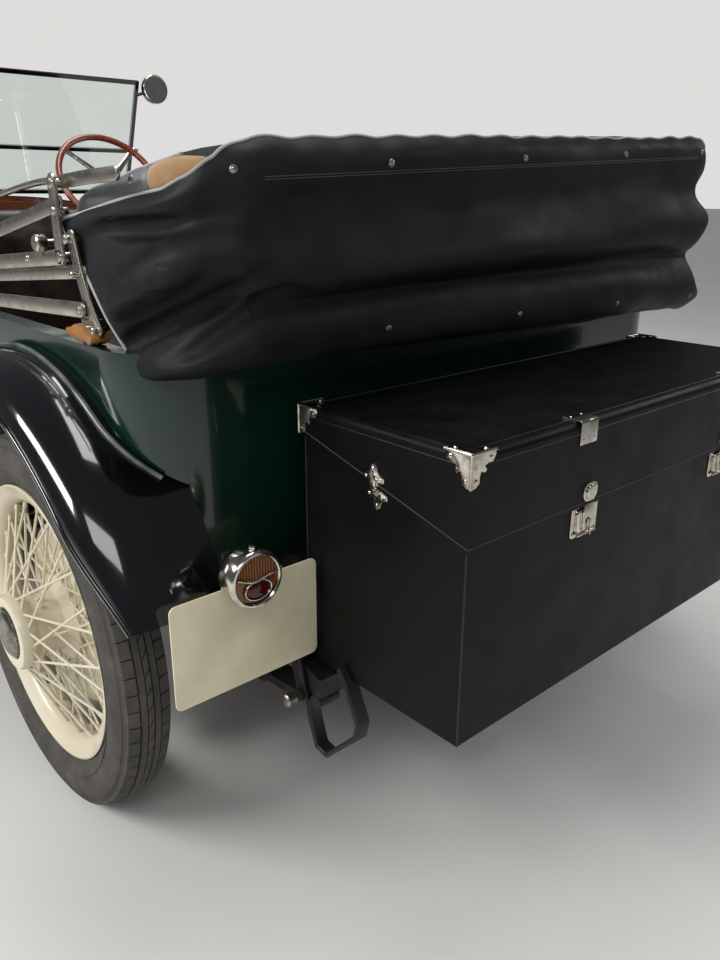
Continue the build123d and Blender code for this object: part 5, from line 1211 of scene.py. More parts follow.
def make_deck():
    """The deck cloth, folded to and fro over the bows."""
    rows = []
    for line, (y, z) in enumerate(DECK_PROFILE):
        row = []
        for x in spaced(-DECK_HALF, DECK_HALF, 17):
            end = max(0.0, abs(x) - 0.50) / 0.135
            sag = 0.004 * math.sin(6.0 * x + line * 1.3) + 0.003 * math.sin(13.0 * x + line * 0.7)
            drop = 0.055 * end * end if line < 5 else 0.018 * end
            tilt = TOP_SLOPE * x * (z - DECK_LOW) / (DECK_HIGH - DECK_LOW) - DECK_SHY
            reach = (1.0 - 0.012 * math.sin(line * 2.2) ** 2) * (1.0 if x > 0 else RIGHT_REACH)
            row.append(Vector((x * reach, y + sag, z + 0.4 * sag - drop + tilt)))
        rows.append(to_frame(row))
    piece = grid_piece("hood_deck", rows)
    modify(piece, "SUBSURF", levels=2, render_levels=2)
    rumple(piece, ((0.12, 0.0020), (0.05, 0.0010)), 3.0)
    modify(piece, "SOLIDIFY", thickness=HOOD_CLOTH_THICKNESS, offset=0.0)
    smooth(piece, 80)
    dress(piece, HOOD_BODY, "hood_cloth", HOOD_CLOTH)
    return piece


def make_hood_ends():
    """Rolled quarter cloth along each end: grey outside in front, its tan lining turned out behind."""
    for side, label in ((1, "left"), (-1, "right")):
        front = [(0.652, 0.136, 1.124), (0.652, 0.170, 1.134), (0.648, 0.250, 1.148), (0.643, 0.330, 1.162),
                 (0.640, 0.362, 1.168)]
        back = [(0.640, 0.356, 1.166), (0.636, 0.390, 1.174), (0.628, 0.430, 1.182), (0.616, 0.462, 1.190)]
        for name, path, taper, finish in (
                ("hood_roll", front, (0.70, 0.95, 1.0, 1.0, 0.96), STRAP_CLOTH),
                ("hood_lining_roll", back, (0.90, 0.95, 0.80, 0.35), LINING_CLOTH)):
            points = to_frame([(side * x, y, z) for x, y, z in path])
            piece = tube(f"{name}_{label}", points, HOOD_ROLL_RADIUS, 8, taper=taper)
            modify(piece, "SUBSURF", levels=1, render_levels=1)
            for vertex in piece.data.vertices:
                vertex.co.x -= 0.22 * (vertex.co.x - side * 0.645)
            rumple(piece, ((0.05, 0.0030), (0.018, 0.0010)), 5.0)
            smooth(piece, 80)
            dress(piece, HOOD_BODY, "hood_cloth", finish)
        edge = to_frame([(side * x, y, z) for x, y, z in (
            (0.652, 0.175, 1.160), (0.648, 0.260, 1.176), (0.640, 0.350, 1.194), (0.630, 0.410, 1.205))])
        welt = tube(f"hood_roll_piping_{label}", edge, HOOD_WELT_RADIUS, 3)
        dress(welt, HOOD_BODY, "hood_cloth", PIPING_CLOTH)
        snap = Vector((side * 0.672, REAR_AXLE_Y + 0.342, 1.172))
        stud = dome(f"hood_roll_snap_{label}", snap, 0.0065, 0.0036, (side, 0, 0.15), 20)
        dress(stud, HOOD_BODY, "nickel", DULL_NICKEL)


def make_hood():
    cover, rows = make_cover()
    make_piping(cover, rows)
    make_studs(cover)
    deck = make_deck()
    make_hood_ends()


# Fenders: pressed sheet with a rolled bead. Angles turn about the axle from straight up, backwards.
FENDER_RADIUS = 0.530
FENDER_SHEET = 0.003
BEAD_RADIUS, REAR_WELT_RADIUS = 0.0052, 0.0042
# Rear: angle, outer x, and radius at the outer edge
REAR_EDGE = [(-92, 0.832, 0.475), (-75, 0.832, 0.475), (-50, 0.832, 0.475), (-20, 0.832, 0.475),
             (10, 0.832, 0.475), (35, 0.832, 0.475), (50, 0.831, 0.477), (58, 0.820, 0.489),
             (64, 0.808, 0.503), (68, 0.800, 0.512)]
REAR_INNER = 0.6425
REAR_BEND = 0.085
BODY_CORNER = 0.125


def between(table, value):
    """The row of a table at a value, straight between its rows."""
    if value <= table[0][0]:
        return table[0][1:]
    for low, high in zip(table, table[1:]):
        if value <= high[0]:
            share = (value - low[0]) / (high[0] - low[0])
            return tuple(a + share * (b - a) for a, b in zip(low[1:], high[1:]))
    return table[-1][1:]


def ring_place(x, radius, angle, axle_y):
    turn = math.radians(angle)
    return Vector((x, axle_y + radius * math.sin(turn), TYRE_RADIUS + radius * math.cos(turn)))


def rear_section(angle, axle_y, shrink=0.0):
    """Points across the rear fender at an angle: from the body over the crown to the outer edge."""
    outer, side_radius = between(REAR_EDGE, angle)
    outer -= shrink
    bend = outer - REAR_BEND
    top = FENDER_RADIUS - 0.0005 - shrink
    points = [(REAR_INNER, top), ((REAR_INNER + bend) / 2, top), (bend, top)]
    for step in range(1, 7):
        a = math.radians(90 * step / 6)
        points.append((bend + REAR_BEND * math.sin(a), side_radius + (top - side_radius) * math.cos(a)))
    return [ring_place(x, r, angle, axle_y) for x, r in points]


def sheet_from(name, rows, thickness):
    """Pressed sheet through rows of points, its upper side outwards."""
    piece = grid_piece(name, rows)
    face_outward(piece)
    face_towards(piece, Vector((0, 0, 1)))
    modify(piece, "SOLIDIFY", thickness=thickness, offset=-1.0)
    return smooth(piece, 50)


def make_rear_fenders():
    rows = [rear_section(angle, REAR_AXLE_Y) for angle in range(-92, 69, 4)]
    sheet = sheet_from("rear_fender_sheet", rows, FENDER_SHEET)
    edge = [row[-1] + Vector((-0.001, 0, 0)) for row in rows]
    bead = tube("rear_fender_bead", edge, BEAD_RADIUS, 4)
    # The welt where the crown meets the body, following the body's rounded rear corner; its grey colour is a
    # painted highlight
    body_x, tail_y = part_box("body_tub")[1].x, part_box("body_tub")[1].y
    seam = []
    for step in range(-90, 50, 3):
        p = ring_place(body_x, FENDER_RADIUS + 0.002, step, REAR_AXLE_Y)
        past = p.y - (tail_y - BODY_CORNER)
        if past > 0:
            p.x -= BODY_CORNER - math.sqrt(max(0.0, BODY_CORNER ** 2 - past ** 2))
        if p.x < REAR_INNER:
            break
        seam.append(p + Vector((0.0025, 0, 0)))
    welt = tube("rear_fender_welt", seam, REAR_WELT_RADIUS, 3)
    # Grey on the welt: a painted highlight along the bead
    dress(both("rear_fender_welts", [welt]), "root", "black_enamel", PAINTED_HIGHLIGHT_BEAD_ENAMEL)
    pair = dress(both("rear_fender_pair", [sheet, bead]), "root", "black_enamel", FENDER_ENAMEL)
    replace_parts(pair, "rear_fenders")


# Front fender across: from the bonnet side to the outer edge, as x and drop below the crown
FRONT_SECTION = [
    (0.6025, 0.036), (0.6100, 0.024), (0.6300, 0.0125), (0.6620, 0.0060), (0.7020, 0.0022),
    (0.7420, 0.0010), (0.7720, 0.0022), (0.8000, 0.0060), (0.8300, 0.0110), (0.8520, 0.0180),
    (0.8680, 0.0290), (0.8765, 0.0400), (0.8785, 0.0520),
]
FRONT_NOSE, FRONT_TAIL = -72, 50
BOARD_LEVEL, BOARD_TOP = 0.3325, 0.3530
FRONT_STAY_X = 0.3810


def make_front_fenders():
    rows = []
    for angle in range(FRONT_NOSE, FRONT_TAIL + 1, 2):
        rows.append([ring_place(x, FENDER_RADIUS - drop, angle, FRONT_AXLE_Y) for x, drop in FRONT_SECTION])
    turn = math.radians(FRONT_TAIL)
    along = Vector((0, math.cos(turn), -math.sin(turn)))
    last = rows[-1]
    for length in (0.06, 0.14, 0.22, 0.30, 0.38, 0.44, 0.466):
        rows.append([Vector((p.x, p.y + along.y * length, max(BOARD_LEVEL, p.z + along.z * length)))
                     for p in last])
    sheet = sheet_from("front_fender_sheet", rows, FENDER_SHEET)
    beads = [
        tube("bead", [row[-1] + Vector((-0.002, 0, 0)) for row in rows], BEAD_RADIUS, 4),
        tube("bead", [row[0] + Vector((0.001, 0, 0)) for row in rows], 0.0035, 3),
        tube("bead", [p + Vector((0, 0, -0.002)) for p in rows[0]], 0.0045, 3),
    ]
    y = FRONT_AXLE_Y - 0.030
    stay = [tube("stay", [(FRONT_STAY_X, y, 0.460), (FRONT_STAY_X, y, 0.700),
                          (FRONT_STAY_X + 0.02, y, 0.830), (0.470, y, 0.850), (0.600, y, 0.852),
                          (0.668, y, 0.876), (0.700, y, 0.8955)], 0.0095, 5)]
    stay.append(block("stay_foot", (FRONT_STAY_X - 0.005, y - 0.020, 0.455),
                      (FRONT_STAY_X + 0.006, y + 0.020, 0.520), 0.002))
    pair = dress(both("front_fender_pair", [sheet] + beads), "root", "black_enamel", FENDER_ENAMEL)
    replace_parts(pair, "front_fenders")
    dress(both("front_stays", stay), "root", "chassis_black", CHASSIS_PAINT)


# Hood irons: flat nickelled bars, their pivots, the rest pad and the wing knob. Y from the rear axle.
IRON_X = 0.7085
IRON_THICK = 0.006


def flat_iron(name, points, width, x=IRON_X, thick=IRON_THICK):
    """A flat bar with round ends along a path of (y, z) places, lying in the plane of the car's side."""
    left, right, caps = [], [], []
    last = len(points) - 1
    for i, (y, z) in enumerate(points):
        before = points[max(0, i - 1)]
        after = points[min(last, i + 1)]
        along = Vector((after[0] - before[0], after[1] - before[1])).normalized()
        across = Vector((-along.y, along.x)) * width / 2
        here = Vector((y, z))
        if 0 < i < last:
            left.append(here + across)
            right.append(here - across)
            continue
        way = 1 if i else -1
        caps.append([here + across * math.cos(a) * way + along * way * math.sin(a) * width / 2
                     for a in (math.pi * step / 6 for step in range(7))])
    # The outline runs round: the first cap, the left side, the last cap, and the right side back
    outline = caps[0] + left + caps[1] + list(reversed(right))
    outline = [(p.x + REAR_AXLE_Y, p.y) for p in outline]
    return plate(name, outline, thick, plane_at((x - thick / 2, 0, 0), (0, 1, 0), (0, 0, 1)), 0.0016)


def make_irons():
    bars = [
        flat_iron("upright", [(0.160, 1.170), (0.160, 1.060)], 0.026),
        flat_iron("drop", [(0.192, 1.090), (0.206, 1.045), (0.226, 0.998), (0.256, 0.956)], 0.024,
                  IRON_X - 0.007),
        flat_iron("arm_a", [(0.160, 1.139), (-0.084, 1.095), (-0.520, 1.015)], 0.024, IRON_X - 0.007),
        flat_iron("arm_b", [(0.165, 1.060), (-0.107, 1.036), (-0.520, 1.001)], 0.024),
        flat_iron("arm_c", [(0.212, 1.041), (-0.117, 1.012), (-0.520, 0.978)], 0.022, IRON_X - 0.013),
        flat_iron("arm_d", [(0.215, 0.984), (-0.135, 0.966), (-0.520, 0.948)], 0.024),
        flat_iron("pivot_post", [(-0.500, 0.946), (-0.500, 1.020)], 0.044, IRON_X - 0.010),
        block("pivot_foot", (IRON_X - 0.034, REAR_AXLE_Y - 0.534, 0.9325),
              (IRON_X - 0.004, REAR_AXLE_Y - 0.466, 0.9385), 0.002),
        flat_iron("rear_arm", [(0.160, 1.170), (0.250, 1.176), (0.343, 1.180)], 0.020, IRON_X - 0.014),
    ]
    x = IRON_X
    pins = []
    for y, z, size in ((0.160, 1.168, 0.009), (0.160, 1.128, 0.007), (0.162, 1.060, 0.009),
                       (0.192, 1.088, 0.008), (0.202, 1.036, 0.006), (0.216, 0.984, 0.007),
                       (0.256, 0.957, 0.006), (-0.505, 1.016, 0.009), (-0.505, 0.990, 0.008),
                       (-0.505, 0.950, 0.008), (0.030, 1.050, 0.006), (-0.300, 0.996, 0.006)):
        place = Vector((x, y + REAR_AXLE_Y, z))
        pins.append(bar("pin", place - Vector((0.020, 0, 0)), place + Vector((0.004, 0, 0)), size * 0.8, 16,
                        0.001))
        pins.append(dome("pin_head", place + Vector((0.003, 0, 0)), size, 0.0035, (1, 0, 0)))
    # Rods over the flat bars, and the knurled knob of the clamp
    rods = [
        tube("rod_a", to_frame([(x - 0.006, 0.160, 1.172), (x - 0.020, 0.040, 1.172),
                                (x - 0.030, -0.140, 1.150)]), 0.0055, 4),
        tube("rod_b", to_frame([(x - 0.004, -0.140, 1.042), (x - 0.004, 0.030, 1.046),
                                (x - 0.004, 0.150, 1.050)]), 0.0045, 4),
        turned("knob", [(0.0, 0.0), (0.0, 0.012), (0.003, 0.014), (0.016, 0.014), (0.019, 0.011),
                        (0.020, 0.0)], Vector((x - 0.004, 0.097 + REAR_AXLE_Y, 1.078)), steps=20,
               axis=(1, 0, 0)),
        bar("knob_stem", (x - 0.020, 0.097 + REAR_AXLE_Y, 1.078), (x, 0.097 + REAR_AXLE_Y, 1.078), 0.006,
            12),
        # Socket on the body's side that carries the pivot
        block("socket", (x - 0.022, REAR_AXLE_Y + 0.200, 0.934), (x - 0.004, REAR_AXLE_Y + 0.250, 0.972),
              0.004, 3),
        bar("foot", (x - 0.010, REAR_AXLE_Y + 0.226, 0.930), (x - 0.010, REAR_AXLE_Y + 0.226, 0.962), 0.012,
            20, 0.002),
    ]
    pad_outline = [(-0.045, 0.0), (0.045, -0.004), (0.047, 0.006), (0.026, 0.010), (0.016, 0.019),
                   (-0.014, 0.020), (-0.028, 0.013), (-0.046, 0.012)]
    pad = plate("rest_pad_left", [(REAR_AXLE_Y + 0.214 + u, 0.942 + v) for u, v in pad_outline], 0.034,
                plane_at((x - 0.024, 0, 0), (0, 1, 0), (0, 0, 1)), 0.004)
    pair = dress(both("hood_iron_pair", bars + pins + rods), "root", "nickel", IRON_NICKEL)
    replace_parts(pair, "hood_irons")
    dress(both("hood_rest_pads", [pad]), "root", "seat_leather", TAN_LEATHER)


# Seats: pads swollen by cloth simulation, then pleated and piped
SEAT_CAP = 0.026
SEAT_VOXEL = 0.012
SEAT_CORD_RADIUS = 0.0042
SEAT_CHANNELS, CHANNEL_DEPTH, CHANNEL_WIDTH = 18, 0.010, 0.016
SEAT_PRESSURE = 4.0
SEAT_FRAMES = 20


def inflate(piece):
    """Swell a pad by cloth simulation, its points moving no further than the cap."""
    modify(piece, "REMESH", mode="VOXEL", voxel_size=SEAT_VOXEL)
    before = [v.co.copy() for v in piece.data.vertices]
    activate(piece)
    cloth = piece.modifiers.new("swell", "CLOTH")
    cloth.settings.use_pressure = True
    cloth.settings.uniform_pressure_force = SEAT_PRESSURE
    cloth.settings.effector_weights.gravity = 0.0
    cloth.settings.quality = 4
    cloth.collision_settings.use_collision = False
    cloth.point_cache.frame_start = 1
    cloth.point_cache.frame_end = SEAT_FRAMES
    for number in range(1, SEAT_FRAMES + 1):
        bpy.context.scene.frame_set(number)
    bpy.ops.object.modifier_apply(modifier=cloth.name)
    bpy.context.scene.frame_set(1)
    for vertex, start in zip(piece.data.vertices, before):
        move = vertex.co - start
        if move.length > SEAT_CAP:
            vertex.co = start + move * (SEAT_CAP / move.length)
    piece.data.update()
    modify(piece, "SMOOTH", factor=0.4, iterations=4)
    modify(piece, "SUBSURF", levels=1, render_levels=1)
    return smooth(piece, 80)


def press_channels(piece, lines, facing):
    """Sewn channels: each line presses the cover in where it lies, on the side that faces the given way."""
    for vertex in piece.data.vertices:
        if vertex.normal.dot(facing) < 0.15:
            continue
        for at in lines:
            gap = abs(vertex.co.x - at)
            if gap < CHANNEL_WIDTH:
                fade = min(1.0, vertex.normal.dot(facing) * 1.6)
                vertex.co -= facing * (CHANNEL_DEPTH * (1.0 - gap / CHANNEL_WIDTH) ** 2 * fade)
    piece.data.update()


def seat_pad(name, low, high, facing, lean):
    """One padded cushion inside the given box, with channels running across its short way."""
    low, high = Vector(low), Vector(high)
    shy = SEAT_CAP * 0.72
    piece = block(name, low + Vector((shy, shy, shy * 0.5)), high - Vector((shy, shy, shy)), 0.022, 3)
    inflate(piece)
    step = (high.x - low.x) / SEAT_CHANNELS
    press_channels(piece, [low.x + step * i for i in range(1, SEAT_CHANNELS)], facing)
    slack = Vector((0.0, lean, 0.0))
    for vertex in piece.data.vertices:
        vertex.co.y += lean * (vertex.co.z - low.z) / (high.z - low.z)
        for axis in range(3):
            vertex.co[axis] = max(low[axis] - slack[axis], min(high[axis] + slack[axis], vertex.co[axis]))
    piece.data.update()
    smooth(piece, 80)
    return dress(piece, "root", "seat_leather", SEAT_HIDE)


def make_seats():
    up, ahead = Vector((0, 0, 1)), Vector((0, -1, 0))
    # Pads: name, low corner, high corner, the side the channels are sewn on, lean to the top
    pads = [
        ("front_cushion", (-0.615, -0.080, 0.718), (0.615, 0.398, 0.828), up, 0.0),
        ("front_backrest", (-0.615, 0.402, 0.719), (0.615, 0.508, 1.148), ahead, 0.045),
        ("rear_cushion", (-0.622, 0.970, 0.718), (0.622, 1.528, 0.828), up, 0.0),
        ("rear_backrest", (-0.622, 1.532, 0.719), (0.622, 1.638, 0.920), ahead, 0.060),
    ]
    made = {}
    for name, low, high, facing, lean in pads:
        made[name] = seat_pad(name, low, high, facing, lean)
    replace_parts(made["front_cushion"], "front_seat")
    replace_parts(made["rear_cushion"], "rear_seat")
    # Piping along the cushions' front edges and the backs' top edges
    cords = []
    for name, y, z, way in (("front_cushion", -0.066, 0.80, (0, 1, 0)),
                            ("rear_cushion", 0.984, 0.80, (0, 1, 0)),
                            ("front_backrest", 0.470, 1.2, (0, 0, -1)),
                            ("rear_backrest", 1.60, 1.0, (0, 0, -1))):
        path = []
        for x in spaced(-0.58, 0.58, 45):
            start = Vector((x, y - 0.2 if way[1] else y, z))
            hit, place, normal, _ = made[name].ray_cast(start, Vector(way))
            if hit:
                path.append(place - normal * 0.0005)
        if len(path) > 3:
            cords.append(tube("cord", path, SEAT_CORD_RADIUS, 3))
    dress(join("seat_piping", cords), "root", "seat_leather", TRUNK_BINDING)


# Steering wheel: a bent wood rim on four nickelled spokes
HELM_AT = (-0.270, -0.170, 1.188)
HELM_LEAN = math.radians(34.3)
HELM_RADIUS = 0.193
HELM_UP = Vector((0, math.cos(HELM_LEAN), math.sin(HELM_LEAN)))


def helm_plane(lift=0.0):
    return plane_at(Vector(HELM_AT) + HELM_UP * lift, (1, 0, 0),
                    (0, math.sin(HELM_LEAN), -math.cos(HELM_LEAN)))


def make_steering_wheel():
    rim = primitive("torus", "steering_rim", major_radius=HELM_RADIUS, minor_radius=0.0122,
                    major_segments=112, minor_segments=18)
    rim.scale = (1.0, 1.0, 0.86)
    settle(rim)
    rim.data.transform(helm_plane())
    smooth(rim, 60)
    dress(rim, "steering_wheel", "rim_wood", RIM_TIMBER)
    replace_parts(rim, "steering_wheel")
    metal = []
    arm = [(0.020, -0.015), (0.060, -0.0115), (0.150, -0.0085), (0.180, -0.011), (0.192, -0.014),
           (0.192, 0.014), (0.180, 0.011), (0.150, 0.0085), (0.060, 0.0115), (0.020, 0.015)]
    for quarter in range(4):
        spoke = plate("spoke", arm, 0.0055, Matrix.Identity(4), 0.0018)
        spoke.data.transform(helm_plane(-0.006) @ Matrix.Rotation(math.radians(45 + 90 * quarter), 4, "Z"))
        metal.append(spoke)
        for far in (0.176, 0.188):
            a = math.radians(45 + 90 * quarter)
            at = helm_plane(-0.0065) @ Vector((far * math.cos(a), far * math.sin(a), 0.0))
            metal.append(dome("rivet", at, 0.0036, -0.0016, HELM_UP))
    hub = turned("hub", [(-0.034, 0.0), (-0.034, 0.024), (-0.010, 0.030), (-0.002, 0.036), (0.004, 0.036),
                         (0.008, 0.028), (0.016, 0.024), (0.019, 0.018), (0.021, 0.0)], HELM_AT, steps=40,
                 axis=tuple(HELM_UP))
    metal.append(hub)
    dress(join("steering_spokes", metal), "steering_wheel", "nickel", NICKEL)
    button = turned("horn_button", [(0.020, 0.0), (0.020, 0.013), (0.024, 0.0125), (0.027, 0.008),
                                    (0.028, 0.0)], HELM_AT, steps=32, axis=tuple(HELM_UP))
    dress(button, "steering_wheel", "tyre_rubber", TYRE_RUBBER)


# Dashboard: four dials and three switch knobs, with plain marks
DASH_FACE_Y = -0.5995


def model_dial(x, z, radius, ticks, angle):
    at = Vector((x, DASH_FACE_Y, z))
    bezel = turned("bezel", [(0.0, radius * 0.90), (0.0, radius), (0.006, radius), (0.009, radius * 0.96),
                             (0.008, radius * 0.90), (0.003, radius * 0.86)], at, steps=48, axis=(0, 1, 0),
                   closed=True)
    face = turned("face", [(0.0, 0.0), (0.0, radius * 0.9), (0.002, radius * 0.9), (0.002, 0.0)], at,
                  steps=48, axis=(0, 1, 0))
    marks = []
    for i in range(ticks):
        a = math.radians(-135 + 270 * i / (ticks - 1))
        long = 0.16 if i % 5 == 0 else 0.09
        mark = block("mark", (-0.0006, 0.0021, radius * (0.84 - long)), (0.0006, 0.0027, radius * 0.84))
        mark.data.transform(Matrix.Translation(at) @ Matrix.Rotation(a, 4, "Y"))
        marks.append(mark)
    hand = plate("hand", [(-0.0016, -radius * 0.16), (0.0016, -radius * 0.16), (0.0005, radius * 0.68),
                          (-0.0005, radius * 0.68)], 0.0008, Matrix.Identity(4))
    hand.data.transform(Matrix.Translation(at + Vector((0, 0.0036, 0)))
                        @ Matrix.Rotation(math.radians(angle), 4, "Y")
                        @ Matrix.Rotation(math.radians(90), 4, "X"))
    marks.append(hand)
    marks.append(dome("boss", at + Vector((0, 0.002, 0)), radius * 0.07, 0.003, (0, 1, 0)))
    return bezel, face, marks


def make_dashboard():
    bezels, faces, marks = [], [], []
    # Dials: x, z, radius, marks, where the hand stands
    for x, z, radius, ticks, angle in ((-0.105, 1.020, 0.050, 31, -128), (0.015, 1.020, 0.036, 21, 0),
                                       (0.110, 1.020, 0.036, 13, -50), (0.210, 1.020, 0.040, 25, 60)):
        bezel, face, lines = model_dial(x, z, radius, ticks, angle)
        bezels.append(bezel)
        faces.append(face)
        marks += lines
    for x in (-0.02, 0.05, 0.12):
        at = (x, DASH_FACE_Y, 0.962)
        bezels.append(turned("knob", [(0.0, 0.0), (0.0, 0.011), (0.003, 0.012), (0.005, 0.006),
                                      (0.016, 0.005), (0.017, 0.010), (0.024, 0.011), (0.027, 0.007),
                                      (0.027, 0.0)], at, steps=24, axis=(0, 1, 0)))
    dress(join("dial_bezels", bezels), "root", "nickel", NICKEL)
    dress(join("dial_faces", faces), "root", "plate_cream", PLATE_ENAMEL)
    dress(join("dial_marks", marks), "root", "black_enamel", FENDER_ENAMEL)


# Pedals, levers, mats and trim panels
def make_controls():
    iron, pads = [], []
    for x, wide in ((-0.365, 0.062), (-0.270, 0.062), (-0.185, 0.044)):
        top = Vector((x, -0.735, 0.735))
        iron.append(tube("pedal_arm", [(x, -0.900, 0.598), (x, -0.880, 0.640), (x, -0.820, 0.690),
                                       tuple(top)], 0.008, 4))
        pad = plate("pedal_pad", rounded(wide, 0.072, 0.010), 0.010,
                    plane_at(top, (1, 0, 0), (0, 0.42, -0.9)), 0.002)
        pads.append(pad)
        for i in range(5):
            rib = block("rib", (-wide * 0.4, -0.028 + 0.014 * i - 0.003, 0.010),
                        (wide * 0.4, -0.022 + 0.014 * i, 0.012))
            rib.data.transform(plane_at(top, (1, 0, 0), (0, 0.42, -0.9)))
            pads.append(rib)
    gear = [
        tube("gear_lever", [(0.020, -0.550, 0.590), (0.020, -0.548, 0.66), (0.016, -0.52, 0.76),
                            (0.0, -0.43, 0.850)], 0.0075, 5, taper=(1.25, 1.1, 0.95, 0.8)),
        turned("gear_boot", [(0.0, 0.0), (0.0, 0.052), (0.006, 0.050), (0.010, 0.030), (0.022, 0.026),
                             (0.030, 0.016), (0.030, 0.0)], (0.020, -0.550, 0.586), steps=40,
               axis=(0, 0, 1)),
        plate("brake_lever", [(-0.018, 0.0), (0.018, 0.0), (0.010, 0.24), (0.008, 0.245), (-0.008, 0.245),
                              (-0.010, 0.24)], 0.009, plane_at((0.0945, -0.550, 0.590), (0, 0.80, -0.60),
                                                               (0, 0.60, 0.80)), 0.002),
        bar("brake_grip", (0.090, -0.404, 0.784), (0.090, -0.366, 0.836), 0.0125, 20, 0.004),
        bar("brake_trigger", (0.090, -0.412, 0.760), (0.090, -0.388, 0.802), 0.004, 12),
        plate("brake_sector", [(math.cos(a) * r, math.sin(a) * r) for a, r in
                               [(math.radians(40 + 10 * i), 0.085) for i in range(11)]
                               + [(math.radians(140 - 10 * i), 0.060) for i in range(11)]], 0.005,
              plane_at((0.078, -0.550, 0.600), (0, 1, 0), (0, 0, 1)), 0.001),
    ]
    knob = primitive("uv_sphere", "gear_knob", segments=32, ring_count=16, radius=0.0195,
                     location=(0, -0.430, 0.863))
    settle(smooth(knob, 60))
    dress(knob, "root", "tyre_rubber", TYRE_RUBBER)
    levers = dress(join("hand_levers", gear), "root", "nickel", DULL_NICKEL)
    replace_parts(levers, "levers")
    dress(join("pedal_arms", iron), "root", "chassis_black", CHASSIS_PAINT)
    dress(join("pedal_pads", pads), "root", "tyre_rubber", TYRE_RUBBER)


def wall_panel(name, node, ys, zs, side, inset=0.0006, thick=0.004):
    """A trim panel laid on the inner face of a door or wall, found by looking outwards from the middle."""
    target = frame["nodes"][node]
    rows = []
    for z in zs:
        row = []
        for y in ys:
            hit, place, _, _ = target.ray_cast(Vector((0, y, z)), Vector((side, 0, 0)))
            row.append(Vector((place.x - side * inset, y, z)) if hit else None)
        rows.append(row)
    if any(point is None for row in rows for point in row):
        return None
    piece = grid_piece(name, rows)
    face_towards(piece, Vector((-side, 0, 0)))
    modify(piece, "SOLIDIFY", thickness=thick, offset=1.0)
    modify(piece, "BEVEL", width=0.0015, segments=2, limit_method="ANGLE")
    smooth(piece, 50)
    return piece


def make_trim():
    # Trim panels: door, side, front, rear
    for node, side, front, rear in (("door_front_left", 1, -0.315, 0.150),
                                    ("door_rear_left", 1, 0.505, 0.900),
                                    ("door_rear_right", -1, 0.505, 0.900)):
        panel = wall_panel(f"{node}_card", node, spaced(front, rear, 12), spaced(0.640, 0.905, 6), side)
        if panel:
            dress(panel, node, "seat_leather", SEAT_HIDE)
    _, place, _, _ = frame["nodes"]["floor"].ray_cast(Vector((0.1, 0.75, 0.90)), Vector((0, 0, -1)))
    floor_top = place.z
    mat = grid_piece("rear_carpet",
                     [[Vector((x, y, floor_top + 0.0030 + 0.0015 * cloth_noise((x, y, 0), 0.09)))
                       for x in spaced(-0.60, 0.60, 41)] for y in spaced(0.575, 0.945, 14)])
    modify(mat, "SOLIDIFY", thickness=0.005, offset=1.0)
    smooth(mat, 60)
    dress(mat, "root", "seat_leather", CARPET)
    ribs = [block("mat", (-0.50, -0.86, floor_top + 0.0004), (0.50, -0.13, floor_top + 0.005), 0.0015)]
    for i in range(24):
        x = -0.46 + 0.04 * i
        ribs.append(block("rib", (x - 0.006, -0.84, floor_top + 0.0045),
                          (x + 0.006, -0.15, floor_top + 0.0075)))
    dress(join("front_rubber_mat", ribs), "root", "tyre_rubber", TYRE_RUBBER)


def make_cabin():
    make_seats()
    make_steering_wheel()
    make_dashboard()
    make_controls()
    make_trim()


# Front end: radiator, lamps, bonnet fittings, door handles, windscreen and running board fittings
LAMP_X, LAMP_Z = 0.400, 0.858
SCREEN_Y, SCREEN_PIVOT_Z = REAR_AXLE_Y - 2.110, 1.318
SCREEN_HALF = 0.600
MIRROR_AT = (-0.660, SCREEN_Y + 0.140, 1.558)
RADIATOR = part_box("radiator_shell")
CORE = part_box("radiator_core")
LAMP_Y = RADIATOR[0].y - 0.040
FIN_COUNT, TUBE_ROWS = 62, 44


